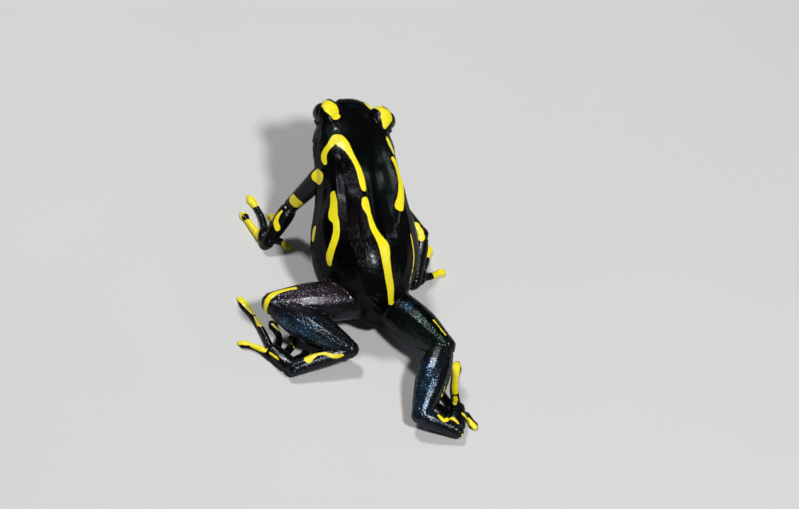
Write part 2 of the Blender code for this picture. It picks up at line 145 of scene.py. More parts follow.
ARM_GIRTHS = (1.85, 1.25, 1.08, 0.95)
LEG_GIRTHS = (3.1, 2.0, 1.55, 1.15, 0.95)
LIMBS = (
    Limb(
        Side.LEFT,
        "arm",
        ((-6.2, 14.0, 13.2), (-9.6, 15.2, 5.8), (-13.7, 11.5, 1.35), (-13.4, 14.2, 0.9)),
        ARM_GIRTHS,
        (
            ((-12.6, 13.0), (-11.2, 12.2), (-10.0, 10.9)),
            ((-12.4, 14.4), (-11.7, 16.4), (-11.4, 18.5)),
            ((-13.4, 14.8), (-13.3, 18.2), (-14.3, 22.8)),
            ((-14.5, 13.5), (-15.4, 16.2), (-16.2, 19.2)),
        ),
    ),
    Limb(
        Side.RIGHT,
        "arm",
        ((4.2, 13.8, 10.4), (10.3, 6.5, 6.3), (8.7, 0.5, 1.35), (10.0, 3.0, 0.9)),
        ARM_GIRTHS,
        (
            ((9.1, 2.5), (8.7, 4.5), (8.8, 6.3)),
            ((9.8, 3.6), (10.4, 5.8), (10.7, 8.0)),
            ((10.6, 3.5), (11.9, 5.8), (13.1, 9.0)),
            ((10.7, 2.2), (12.5, 2.6), (14.4, 3.5)),
        ),
    ),
    Limb(
        Side.LEFT,
        "leg",
        ((-3.7, -6.0, 5.5), (-17.3, -6.6, 6.8), (-6.0, -14.3, 3.1), (-15.3, -16.1, 1.25), (-17.7, -11.4, 0.9)),
        LEG_GIRTHS,
        (
            ((-15.2, -14.0), (-13.4, -13.0), (-12.0, -12.0)),
            ((-16.0, -12.4), (-14.1, -10.3), (-13.3, -7.9)),
            ((-17.0, -11.2), (-16.0, -8.2), (-16.5, -4.8)),
            ((-17.9, -11.0), (-18.7, -5.8), (-20.6, 0.8)),
            ((-18.1, -12.8), (-19.8, -10.6), (-22.7, -8.8)),
        ),
    ),
    Limb(
        Side.RIGHT,
        "leg",
        ((2.7, -6.3, 4.2), (8.4, -18.3, 6.6), (2.7, -29.3, 2.9), (8.4, -31.8, 1.25), (9.7, -26.4, 0.9)),
        LEG_GIRTHS,
        (
            ((7.7, -29.6), (6.0, -28.4), (4.7, -27.4)),
            ((8.1, -27.6), (6.6, -25.2), (6.0, -22.9)),
            ((9.0, -26.3), (8.1, -23.0), (8.4, -19.8)),
            ((9.9, -25.8), (10.5, -21.6), (12.1, -16.5)),
            ((10.1, -27.6), (11.1, -28.3), (11.9, -30.7)),
        ),
    ),
)


@dataclass(frozen=True)
class HeadPlan:
    """Where the head's features sit, in the head's own frame: x to its side, y forward, z up."""

    middle: Vector = Vector((0.999, 22.538, 15.161))
    yaw: float = -11.23
    pitch: float = -2.51
    roll: float = 3.95
    eye: Vector = Vector((4.7, 0.9, 1.8))
    gaze: Vector = Vector((0.92, 0.26, 0.20))
    ball: float = 2.0
    opening_along: float = 1.12
    opening_above: float = 0.80
    opening_below: float = 0.96
    lid_reach: float = 4.2
    no_ring: float = 9.0
    nostril: Vector = Vector((2.25, 5.6, 0.8))
    mouth_height: float = -1.25
    mouth_corner: float = -3.2
    ear: Vector = Vector((6.35, -3.9, -0.25))
    ear_radius: float = 0.92

    @property
    def facing(self) -> Matrix:
        """Give the head's axes as the columns of a 3 x 3 matrix."""
        yaw, pitch, roll = (math.radians(turn) for turn in (self.yaw, self.pitch, self.roll))
        turned = Matrix.Rotation(yaw, 3, "Z") @ Matrix.Rotation(pitch, 3, "X")
        return turned @ Matrix.Rotation(roll, 3, "Y")

    def local(self, places: np.ndarray, side: Side) -> np.ndarray:
        """Turn places into the head's frame, mirrored so that the side's own features have a positive x.

        Args:
            places: The places, one a row, in millimetres.
            side: The side whose features are measured.

        Returns:
            The places in the head's frame.
        """
        turned = (places - np.array(self.middle)) @ np.array(self.facing)
        turned[:, 0] *= side.value
        return turned

    def world(self, place: Vector, side: Side) -> Vector:
        """Turn a place in the head's frame into the scene's."""
        return self.middle + self.facing @ Vector((place.x * side.value, place.y, place.z))

    def gaze_axes(self, side: Side) -> tuple[Vector, Vector, Vector]:
        """Give an eye's outward, forward and upward axes in the scene.

        Args:
            side: The eye's side.

        Returns:
            Three unit vectors.
        """
        out = self.facing @ Vector((self.gaze.x * side.value, self.gaze.y, self.gaze.z))
        out.normalize()
        ahead = self.facing.col[1]
        ahead = (ahead - out * ahead.dot(out)).normalized()
        above = out.cross(ahead) * side.value
        return out, ahead, above.normalized()

    def lid_ring(self, places: np.ndarray, side: Side) -> np.ndarray:
        """Measure which ring round an eye's opening each place is on.

        Args:
            places: The places, one a row, in millimetres.
            side: The eye's side.

        Returns:
            0 at the middle of the opening, 1 at the edge of the lids, and no_ring away from the eye.
        """
        out, ahead, above = (np.array(axis) for axis in self.gaze_axes(side))
        offset = places - np.array(self.world(self.eye, side))
        reach = np.linalg.norm(offset, axis=1)
        outward = np.maximum(offset @ out, 0.02 * reach)
        forward = np.arctan2(offset @ ahead, outward)
        upward = np.arctan2(offset @ above, outward)
        tall = np.where(upward > 0, self.opening_above, self.opening_below)
        ring = np.hypot(forward / self.opening_along, upward / tall)
        return np.where((reach < self.lid_reach) & (offset @ out > 0.05 * reach), ring, self.no_ring)


HEAD = HeadPlan()
VIEW = PhotoView()


def smooth_row(rows: Sequence[Sequence[float]], steps: int = 4) -> list[tuple[float, ...]]:
    """Put a smooth curve through rows of numbers.

    Args:
        rows: The rows that the curve goes through.
        steps: How many new rows stand in for each span.

    Returns:
        The rows along the curve.
    """
    known = np.array(rows, dtype=float)
    padded = np.vstack((2 * known[0] - known[1], known, 2 * known[-1] - known[-2]))
    curve = []
    for before, start, end, after in zip(padded, padded[1:], padded[2:], padded[3:]):
        for k in range(steps):
            t = k / steps
            bend = (2 * before - 5 * start + 4 * end - after) * t
            bend += (3 * start - before - 3 * end + after) * t * t
            curve.append(tuple(start + 0.5 * t * ((end - before) + bend)))
    curve.append(tuple(known[-1]))
    return curve


def smoothstep(low: float, high: float, values: np.ndarray) -> np.ndarray:
    """Rise from 0 at low to 1 at high, smoothly; low may be the higher of the two."""
    t = np.clip((values - low) / (high - low), 0.0, 1.0)
    return t * t * (3.0 - 2.0 * t)


def hill(values: np.ndarray, reach: float) -> np.ndarray:
    """Fall from 1 at zero to nothing beyond a reach."""
    return np.exp(-((values / reach) ** 2))


def along_path(places: np.ndarray, path: Sequence[Sequence[float]]) -> tuple[np.ndarray, np.ndarray]:
    """Measure how far places are from a path and how far along it they are.

    Args:
        places: The places, one a row.
        path: The path's points.

    Returns:
        The distance to the path, and the place along it in points.
    """
    points = np.array([tuple(point) for point in path], dtype=float)
    nearest = np.full(len(places), np.inf)
    fraction = np.zeros(len(places))
    for k, (start, end) in enumerate(zip(points, points[1:])):
        span = end - start
        share = np.clip(((places - start) @ span) / max(span @ span, 1e-9), 0.0, 1.0)
        apart = np.linalg.norm(places - start - share[:, None] * span, axis=1)
        closer = apart < nearest
        nearest[closer] = apart[closer]
        fraction[closer] = k + share[closer]
    return nearest, fraction


class Tissue:
    """A closed surface held as arrays while it is sculpted."""

    def __init__(self, mesh: bpy.types.Mesh) -> None:
        self.mesh = mesh
        count = len(mesh.vertices)
        self.place = np.empty(count * 3)
        mesh.vertices.foreach_get("co", self.place)
        self.place = self.place.reshape(-1, 3)
        edges = np.empty(len(mesh.edges) * 2, dtype=np.int32)
        mesh.edges.foreach_get("vertices", edges)
        self.starts, self.ends = edges.reshape(-1, 2).T
        self.links = np.bincount(self.starts, minlength=count) + np.bincount(self.ends, minlength=count)
        self.normal = np.zeros((count, 3))
        self.refresh()

    def refresh(self) -> None:
        """Write the places back to the mesh and read its normals again."""
        self.mesh.vertices.foreach_set("co", self.place.astype(np.float32).ravel())
        self.mesh.update()
        normals = np.empty(self.place.size, dtype=np.float32)
        self.mesh.vertex_normals.foreach_get("vector", normals)
        self.normal = normals.reshape(-1, 3).astype(float)

    def averaged(self, values: np.ndarray) -> np.ndarray:
        """Give each vertex the mean of its neighbours' values.

        Args:
            values: A value, or a row of them, for each vertex.

        Returns:
            The means.
        """
        count = len(self.place)
        columns = values.reshape(count, -1).T
        means = []
        for column in columns:
            total = np.bincount(self.starts, column[self.ends], count)
            total += np.bincount(self.ends, column[self.starts], count)
            means.append(total / self.links)
        return np.array(means).T.reshape(values.shape)

    def blurred(self, values: np.ndarray, times: int) -> np.ndarray:
        """Blur values over the surface.

        Args:
            values: A value, or a row of them, for each vertex.
            times: How often they are blurred.

        Returns:
            The blurred values.
        """
        for _ in range(times):
            values = 0.5 * values + 0.5 * self.averaged(values)
        return values

    def relax(self, times: int, shrink: float = 0.50, swell: float = -0.52) -> None:
        """Smooth the surface by turns that shrink and swell it, so that its size stays.

        Args:
            times: How many turns it takes.
            shrink: The share of the way to the mean.
            swell: The way back.
        """
        for _ in range(times):
            for step in (shrink, swell):
                self.place += step * (self.averaged(self.place) - self.place)
        self.refresh()

    def push(self, height: np.ndarray) -> None:
        """Move the surface out along its normals."""
        self.place += self.normal * height[:, None]
        self.refresh()

    def tree(self) -> BVHTree:
        """Give a search tree of the surface as it is now."""
        return BVHTree.FromPolygons(
            [Vector(place) for place in self.place],
            [tuple(polygon.vertices) for polygon in self.mesh.polygons],
        )

    def store(self, name: str, values: np.ndarray) -> None:
        """Keep a value for each vertex as an attribute that the finish reads."""
        layer = self.mesh.attributes.get(name) or self.mesh.attributes.new(name, "FLOAT", "POINT")
        layer.data.foreach_set("value", values.astype(np.float32))


@dataclass
class FleshUnion:
    """Fuses the solids of flesh into one closed surface.

    Attributes:
        nodes: The solids by name.
        voxel: The fineness of the surface.
        share: How much of a limb's girth fills the partings between its solids.
        eye_fill: The radius that fills each eye socket before the lids are formed.
        neck_shift: How far each of two copies of the torso moves on to close the parting at the neck.
        weld: How near points are to be merged.
        digit_height: How high the middle of a digit lies over the floor.
        digit_core: The radii of the core at a digit's root.
        digit_share: How far the core reaches towards the digit's middle.
        steps: How often the fused surface is smoothed.
    """

    nodes: dict[str, bpy.types.Object]
    voxel: float = 0.15
    share: float = 0.97
    eye_fill: float = 2.3
    neck_shift: Triple = (0.02, 0.19, 0.04)
    weld: float = 0.002
    digit_height: float = 0.58
    digit_core: tuple[float, float] = (0.6, 0.56)
    digit_share: float = 0.4
    steps: int = 6

    def names(self) -> list[str]:
        """List the solids of flesh."""
        return [name for name in self.nodes if not name.startswith("eye_")]

    def add_ball(self, bm: bmesh.types.BMesh, place: Sequence[float], radius: float) -> None:
        """Add a ball to the mass."""
        bmesh.ops.create_icosphere(bm, subdivisions=3, radius=radius, matrix=Matrix.Translation(place))

    def add_core(
        self, bm: bmesh.types.BMesh, start: Sequence[float], end: Sequence[float], radii: tuple[float, float]
    ) -> None:
        """Add a tapered core with round ends, which bridges the partings along a limb.

        Args:
            bm: The mesh that is being gathered.
            start: The middle of one end.
            end: The middle of the other end.
            radii: The limb's girth at each.
        """
        low, high = Vector(start), Vector(end)
        span = high - low
        turn = span.to_track_quat("Z", "Y").to_matrix().to_4x4()
        middle = Matrix.Translation((low + high) / 2) @ turn
        near, far = (radius * self.share for radius in radii)
        bmesh.ops.create_cone(
            bm, cap_ends=True, segments=32, radius1=near, radius2=far, depth=span.length, matrix=middle
        )
        self.add_ball(bm, low, near)
        self.add_ball(bm, high, far)

    def fill_limb(self, bm: bmesh.types.BMesh, limb: Limb) -> None:
        """Add the cores of one limb and of the roots of its digits.

        Args:
            bm: The mesh that is being gathered.
            limb: The arm or leg.
        """
        pairs = list(zip(limb.joints, limb.girths))
        for (start, near), (end, far) in zip(pairs, pairs[1:]):
            self.add_core(bm, start, end, (near, far))
        for digit in limb.digits:
            root, bend = (Vector((*place, self.digit_height)) for place in digit[:2])
            self.add_core(bm, root, root.lerp(bend, self.digit_share), self.digit_core)

    def mass(self) -> bpy.types.Mesh:
        """Gather the solids and the cores into one overlapping mesh.

        Returns:
            The mesh, in millimetres.
        """
        bm = bmesh.new()
        for name in self.names():
            bm.from_mesh(self.nodes[name].data)
        torso = self.nodes["torso"].data
        for step in (1, 2):
            before = len(bm.verts)
            bm.from_mesh(torso)
            bm.verts.ensure_lookup_table()
            shift = Vector(self.neck_shift) * METRES * step
            bmesh.ops.translate(bm, vec=shift, verts=bm.verts[before:])
        bmesh.ops.scale(bm, vec=(1 / METRES,) * 3, verts=bm.verts)
        bmesh.ops.remove_doubles(bm, verts=bm.verts, dist=self.weld)
        for limb in LIMBS:
            self.fill_limb(bm, limb)
        for side in Side:
            self.add_ball(bm, HEAD.world(HEAD.eye, side), self.eye_fill)
        return mesh_of(bm, "mass")

    def largest(self, mesh: bpy.types.Mesh) -> None:
        """Keep only the outermost closed surface.

        Args:
            mesh: The mesh, which is changed in place.
        """
        bm = bmesh.new()
        bm.from_mesh(mesh)
        bm.verts.ensure_lookup_table()
        start = max(bm.verts, key=lambda vert: vert.co.z)
        reached = {start}
        front = [start]
        while front:
            vert = front.pop()
            for edge in vert.link_edges:
                other = edge.other_vert(vert)
                if other not in reached:
                    reached.add(other)
                    front.append(other)
        spare = [vert for vert in bm.verts if vert not in reached]
        bmesh.ops.delete(bm, geom=spare, context="VERTS")
        bm.to_mesh(mesh)
        bm.free()

    def build(self) -> Tissue:
        """Fuse, clean and smooth the flesh.

        Returns:
            The skin's surface, in millimetres.
        """
        body = placed(self.mass())
        remesh = body.modifiers.new("fuse", "REMESH")
        remesh.mode = "VOXEL"
        remesh.voxel_size = self.voxel
        fused = evaluated_mesh(body, "skin")
        bpy.data.objects.remove(body)
        self.largest(fused)
        tissue = Tissue(fused)
        tissue.relax(self.steps)
        LOG.info("skin fused: %d vertices", len(fused.vertices))
        return tissue


def mesh_of(bm: bmesh.types.BMesh, name: str) -> bpy.types.Mesh:
    """Turn an edited mesh into a named one.

    Args:
        bm: The edited mesh, which is freed.
        name: The new mesh's name.

    Returns:
        The mesh.
    """
    mesh = bpy.data.meshes.new(name)
    bm.to_mesh(mesh)
    bm.free()
    return mesh


def placed(data: bpy.types.ID) -> bpy.types.Object:
    """Put a mesh, a light or a camera into the scene, at the origin.

    Args:
        data: The mesh, light or camera.

    Returns:
        Its object.
    """
    obj = bpy.data.objects.new(data.name, data)
    bpy.context.scene.collection.objects.link(obj)
    return obj


def evaluated_mesh(obj: bpy.types.Object, name: str) -> bpy.types.Mesh:
    """Give the mesh of an object with its modifiers applied.

    Args:
        obj: The object.
        name: The new mesh's name.

    Returns:
        The mesh.
    """
    depsgraph = bpy.context.evaluated_depsgraph_get()
    depsgraph.update()
    mesh = bpy.data.meshes.new_from_object(obj.evaluated_get(depsgraph))
    mesh.name = name
    return mesh


class PhotoReach:
    """Finds the places on the skin that pixels of the photograph show."""

    search: int = 25

    def __init__(self, tissue: Tissue) -> None:
        self.tree = tissue.tree()

    def place(self, x: float, y: float) -> Vector:
        """Give the place on the skin at a pixel, or the nearest one where the ray passes by.

        Args:
            x: Pixels from the frame's left.
            y: Pixels from the frame's top.

        Returns:
            A place in millimetres.
        """
        start, direction = VIEW.ray(x, y)
        hit = self.tree.ray_cast(start, direction)[0]
        if hit is not None:
            return hit
        best = None
        for step in range(-self.search, self.search + 1):
            spot = start + direction * (VIEW.distance + step)
            near = self.tree.find_nearest(spot)
            if best is None or near[3] < best[3]:
                best = near
        return best[0]

    def path(self, pixels: Iterable[Sequence[float]], passes: int = 0) -> list[Vector]:
        """Give the places on the skin along a row of pixels.

        Args:
            pixels: The row of pixels.
            passes: How often the row of places is evened out, for rows along an outline.

        Returns:
            The places, in millimetres.
        """
        places = [self.place(pixel[0], pixel[1]) for pixel in pixels]
        for _ in range(passes):
            inner = [(a + 2 * b + c) / 4 for a, b, c in zip(places, places[1:], places[2:])]
            places = [places[0], *inner, places[-1]]
        return [self.tree.find_nearest(place)[0] for place in places] if passes else places


@dataclass(frozen=True)
class Relief:
    """A low form that the photograph shows: pixels along it, its half width in millimetres and its height."""

    pixels: tuple[tuple[float, float], ...]
    reach: float
    height: float


# The back's low forms, as rows of pixels of the photograph.
RELIEFS = {
    "left_ridge": Relief(((343, 141), (352, 156), (360, 176), (364, 196), (368, 216), (374, 236)), 1.0, 0.24),
    "right_ridge": Relief(((391, 153), (398, 167), (402, 183), (401, 203), (399, 222)), 1.0, 0.20),
    "left_scapular_lump": Relief(((337, 156), (341, 160)), 1.1, 0.20),
    "left_scapular_hollow": Relief(((341, 174), (346, 188)), 1.4, -0.42),
    "left_shoulder": Relief(((322, 172), (327, 182)), 1.3, 0.25),
    "right_scapular_hollow": Relief(((382, 172), (384, 186)), 1.3, -0.18),
    "spine_groove": Relief(((366, 150), (372, 180), (376, 215), (378, 235)), 0.7, -0.10),
    "sacral_hump": Relief(((370, 254), (374, 268)), 2.0, 0.46),
    "left_ilium": Relief(((352, 248), (361, 272), (368, 296)), 0.8, 0.16),
    "right_ilium": Relief(((386, 246), (391, 270), (391, 298)), 0.8, 0.16),
    "left_flank_fold": Relief(((322, 264), (334, 277), (350, 288)), 0.95, -0.13),
    "waist_hollow": Relief(((400, 262), (402, 282)), 1.3, -0.22),
}


BROW_CREST = ((322.7, 105.5), (327.0, 112.5), (331.0, 119.5), (336.0, 127.5))


@dataclass(frozen=True)
class Ridge:
    """A raised or sunk band round a line or a point of the skin, in millimetres.

    Attributes:
        height: How far it rises, or sinks where it is negative.
        reach: Its half width.
        offset: How far from the line or point its middle runs.
    """

    height: float
    reach: float
    offset: float = 0.0

    def lift(self, apart: np.ndarray) -> np.ndarray:
        """Give its height at each distance from the line or point."""
        return self.height * hill(apart - self.offset, self.reach)


@dataclass(frozen=True)
class HeadForms:
    """The small forms of the head. Its lines are in the head's frame."""

    canthus_line: tuple[Triple, ...] = ((4.2, 2.9, 2.1), (3.4, 4.4, 1.8), (2.3, 5.9, 1.3))
    canthus: Ridge = Ridge(0.14, 0.5)
    cheek_line: tuple[Triple, ...] = ((4.4, 3.6, 0.2), (3.4, 5.2, 0.0))
    cheek: Ridge = Ridge(-0.14, 0.8)
    nostril_stretch: Triple = (1.0, 0.8, 1.1)
    nostril_rim: Ridge = Ridge(0.07, 0.16, 0.44)
    nostril_hole: Ridge = Ridge(-0.36, 0.25)
    drum_depth: float = 0.04
    ear_groove: Ridge = Ridge(-0.13, 0.19, HEAD.ear_radius)
    ear_rim: Ridge = Ridge(0.05, 0.2, HEAD.ear_radius + 0.38)
    fold_line: tuple[Triple, ...] = ((4.6, -2.6, 1.9), (5.6, -3.9, 1.2), (6.4, -5.4, 0.2), (6.6, -6.6, -1.4))
    fold: Ridge = Ridge(0.13, 0.34)
    fold_groove: Ridge = Ridge(-0.07, 0.22, 0.62)
    mouth_groove: Ridge = Ridge(-0.22, 0.17)
    upper_lip: Ridge = Ridge(0.08, 0.22, 0.40)
    lower_lip: Ridge = Ridge(0.04, 0.2, -0.36)
    mouth_rise: float = 0.10
    mouth_drop: float = 0.22
    lid_profile: tuple[tuple[float, float], ...] = (
        (0.0, 1.60), (0.93, 1.66), (1.0, 2.01), (1.06, 2.21), (1.14, 2.24), (1.40, 2.27), (1.55, 2.33)
    )
    lid_blend: tuple[float, float] = (1.70, 1.10)
    lid_crease: Ridge = Ridge(-0.09, 0.11, 1.56)


@dataclass(frozen=True)
class VentFolds:
    """The crumpled thin skin above the vent: waves across it that sway and fade along it."""

    pixel: tuple[float, float] = (376, 306)
    fade: tuple[float, float] = (3.6, 1.2)
    height: float = 0.05
    pitch: float = 7.6
    across: Triple = (0.25, 0.88, 0.40)
    along: Triple = (0.96, -0.20, -0.15)

    def waves(self, offset: np.ndarray) -> np.ndarray:
        """Give the waves, between -1 and 1, at offsets from the middle.

        Args:
            offset: The offsets, one a row, in millimetres.

        Returns:
            The height of each.
        """
        across = offset @ np.array(self.across)
        along = offset @ np.array(self.along)
        sway = 1.3 * np.sin(along * 1.7 + 0.5) + 0.8 * np.sin(along * 3.7 + across * 2.1)
        depth = 0.6 + 0.4 * np.sin(along * 2.3 + across * 1.3 + 1.0)
        return depth * np.sin(across * self.pitch + sway)


@dataclass(frozen=True)
class LimbForms:
    """The small forms of the arms and legs.

    Attributes:
        root_place: Where a limb's root is blended, in girths along the limb.
        root_blend: Where the blending begins and is full, in girths from there.
        root_passes: How often the root is smoothed.
        bone: The height and the reach, in girths, of a joint's bone.
        fold_places: Where the folds of a joint run, in girths from its tip.
        fold: A fold's own height and reach.
        middle: How high the middle of a digit's back lies over the floor.
        disc_inset: How far a disc's middle lies from the digit's tip.
        seam_ends: How far the seam of a disc runs back and on from its middle.
    """

    root_place: float = 0.6
    root_blend: tuple[float, float] = (2.1, 1.2)
    root_passes: int = 40
    bone: tuple[float, float] = (0.10, 0.6)
    fold_places: tuple[float, float] = (0.90, 1.40)
    fold: Ridge = Ridge(-0.06, 0.16)
    middle: float = 0.9
    disc_inset: float = 0.55
    scute_apart: float = 0.30
    scute: Ridge = Ridge(0.09, 0.27)
    seam_ends: tuple[float, float] = (0.3, 0.4)
    seam: Ridge = Ridge(-0.05, 0.13)
    knuckle: Ridge = Ridge(0.05, 0.35)
    knuckle_share: float = 0.45


@dataclass
class Sculptor:
    """Forms the features of the live animal on the fused skin."""

    tissue: Tissue
    photo: PhotoReach
    head: HeadForms = HeadForms()
    vent: VentFolds = VentFolds()
    limb: LimbForms = LimbForms()
    brow: Ridge = Ridge(0.10, 0.32)

    def apart(self, place: Sequence[float]) -> np.ndarray:
        """Measure how far the skin is from a place."""
        return np.linalg.norm(self.tissue.place - np.array(place), axis=1)

    def lids(self, side: Side) -> None:
        """Open the eye, and give it an upper and a lower lid with rounded rims.

        Args:
            side: The side of the head.
        """
        ring = HEAD.lid_ring(self.tissue.place, side)
        offset = self.tissue.place - np.array(HEAD.world(HEAD.eye, side))
        reach = np.maximum(np.linalg.norm(offset, axis=1), 1e-6)
        rings, radii = zip(*self.head.lid_profile)
        share = smoothstep(*self.head.lid_blend, ring) * (np.interp(ring, rings, radii) / reach - 1.0)
        self.tissue.place += offset * share[:, None]
        self.tissue.refresh()
        self.tissue.push(self.head.lid_crease.lift(ring))

    def nostril(self, side: Side) -> None:
        """Sink a nostril with a raised rim.

        Args:
            side: The side of the head.
        """
        offset = HEAD.local(self.tissue.place, side) - np.array(HEAD.nostril)
        apart = np.linalg.norm(offset * self.head.nostril_stretch, axis=1)
        self.tissue.push(self.head.nostril_rim.lift(apart) + self.head.nostril_hole.lift(apart))

    def canthus(self, side: Side) -> None:
        """Raise the edge from the eye to the nostril, and hollow the cheek below it.

        Args:
            side: The side of the head.
        """
        local = HEAD.local(self.tissue.place, side)
        edge, _ = along_path(local, self.head.canthus_line)
        cheek, _ = along_path(local, self.head.cheek_line)
        self.tissue.push(self.head.canthus.lift(edge) + self.head.cheek.lift(cheek))

    def ear(self, side: Side) -> None:
        """Form the round eardrum, the ring round it and the fold above it.

        Args:
            side: The side of the head.
        """
        local = HEAD.local(self.tissue.place, side)
        apart = np.linalg.norm(local - np.array(HEAD.ear), axis=1)
        drum = -self.head.drum_depth * smoothstep(HEAD.ear_radius, HEAD.ear_radius * 0.6, apart)
        ring = self.head.ear_groove.lift(apart) + self.head.ear_rim.lift(apart)
        fold, _ = along_path(local, self.head.fold_line)
        self.tissue.push(drum + ring + self.head.fold.lift(fold) + self.head.fold_groove.lift(fold))

    def mouth(self) -> None:
        """Draw the line of the mouth, with a fuller upper lip."""
        local = HEAD.local(self.tissue.place, Side.RIGHT)
        forward = local[:, 1]
        rise = self.head.mouth_rise * smoothstep(3.0, 6.5, forward)
        drop = self.head.mouth_drop * smoothstep(-0.5, -3.4, forward)
        apart = local[:, 2] - (HEAD.mouth_height + rise - drop)
        shown = smoothstep(HEAD.mouth_corner - 0.3, HEAD.mouth_corner + 0.5, forward)
        shown *= np.abs(self.tissue.normal @ np.array(HEAD.facing.col[2])) < 0.93
        lips = self.head.upper_lip.lift(apart) + self.head.lower_lip.lift(apart)
        self.tissue.push(shown * (self.head.mouth_groove.lift(apart) + lips))

    def reliefs(self) -> None:
        """Raise and sink the back's low forms where the photograph shows them."""
        lift = np.zeros(len(self.tissue.place))
        for relief in RELIEFS.values():
            apart, _ = along_path(self.tissue.place, self.photo.path(relief.pixels))
            lift += relief.height * hill(apart, relief.reach)
        apart, _ = along_path(self.tissue.place, self.photo.path(BROW_CREST, 1))
        self.tissue.push(lift + self.brow.lift(apart))

    def limb_roots(self) -> None:
        """Let the skin run smoothly from the body into the arms and thighs."""
        weight = np.zeros(len(self.tissue.place))
        begin, full = self.limb.root_blend
        for limb in LIMBS:
            root = np.array(limb.joints[0])
            toward = np.array(limb.joints[1]) - root
            girth = limb.girths[0]
            middle = root + toward / np.linalg.norm(toward) * girth * self.limb.root_place
            weight = np.maximum(weight, smoothstep(girth * begin, girth * full, self.apart(middle)))
        for _ in range(self.limb.root_passes):
            move = self.tissue.averaged(self.tissue.place) - self.tissue.place
            self.tissue.place += 0.5 * weight[:, None] * move
        self.tissue.refresh()

    def vent_wrinkles(self) -> None:
        """Crumple the thin skin above the vent."""
        offset = self.tissue.place - np.array(self.photo.place(*self.vent.pixel))
        mask = smoothstep(*self.vent.fade, np.linalg.norm(offset, axis=1))
        self.tissue.push(self.vent.height * mask * self.vent.waves(offset))

    def joint_folds(self) -> None:
        """Crease the skin in the bends of the elbows, knees and heels, and mark the joints' bones."""
        lift = np.zeros(len(self.tissue.place))
        height, reach = self.limb.bone
        for limb in LIMBS:
            joints = [np.array(joint) for joint in limb.joints]
            for before, joint, after, girth in zip(joints, joints[1:], joints[2:], limb.girths[1:]):
                inward = (before - joint) / np.linalg.norm(before - joint)
                inward += (after - joint) / np.linalg.norm(after - joint)
                inward /= max(np.linalg.norm(inward), 1e-6)
                apart = self.apart(joint - inward * girth)
                lift += height * hill(apart, reach * girth)
                for place in self.limb.fold_places:
                    lift += self.limb.fold.lift(apart - girth * place)
        self.tissue.push(lift)

    def digits(self) -> None:
        """Give each disc its pair of scutes, and each digit its knuckles."""
        lift = np.zeros(len(self.tissue.place))
        form = self.limb
        back, on = form.seam_ends
        for digit in (digit for limb in LIMBS for digit in limb.digits):
            root, bend, tip = (np.array((*place, form.middle)) for place in digit)
            span = (tip - bend) / np.linalg.norm(tip - bend)
            side = np.cross(span, (0.0, 0.0, 1.0))
            disc = tip - span * form.disc_inset
            for sign in (-1, 1):
                lift += form.scute.lift(self.apart(disc + sign * side * form.scute_apart))
            seam, _ = along_path(self.tissue.place, (disc - span * back, disc + span * on))
            lift += form.seam.lift(seam)
            for knuckle in (bend, root + (bend - root) * form.knuckle_share):
                lift += form.knuckle.lift(self.apart(knuckle))
        self.tissue.push(lift * (self.tissue.normal[:, 2] > 0))

    def settle(self) -> None:
        """Lay what would reach through the floor flat on it."""
        self.tissue.place[:, 2] = np.maximum(self.tissue.place[:, 2], 0.0)
        self.tissue.refresh()

    def run(self) -> None:
        """Form every feature, the broad ones first."""
        self.limb_roots()
        self.reliefs()
        self.joint_folds()
        self.vent_wrinkles()
        for side in Side:
            self.canthus(side)
            self.ear(side)
        self.mouth()
        for side in Side:
            self.nostril(side)
            self.lids(side)
        self.digits()
        self.settle()


@dataclass(frozen=True)
class Stroke:
    """A marking: pixels of the photograph along its middle, each with its width in pixels.

    Attributes:
        pixels: Pixels from the frame's left and top, and the width there.
        even: How often its line is evened out, more for one that runs along an outline.
    """

    pixels: tuple[Triple, ...]
    even: int = 2


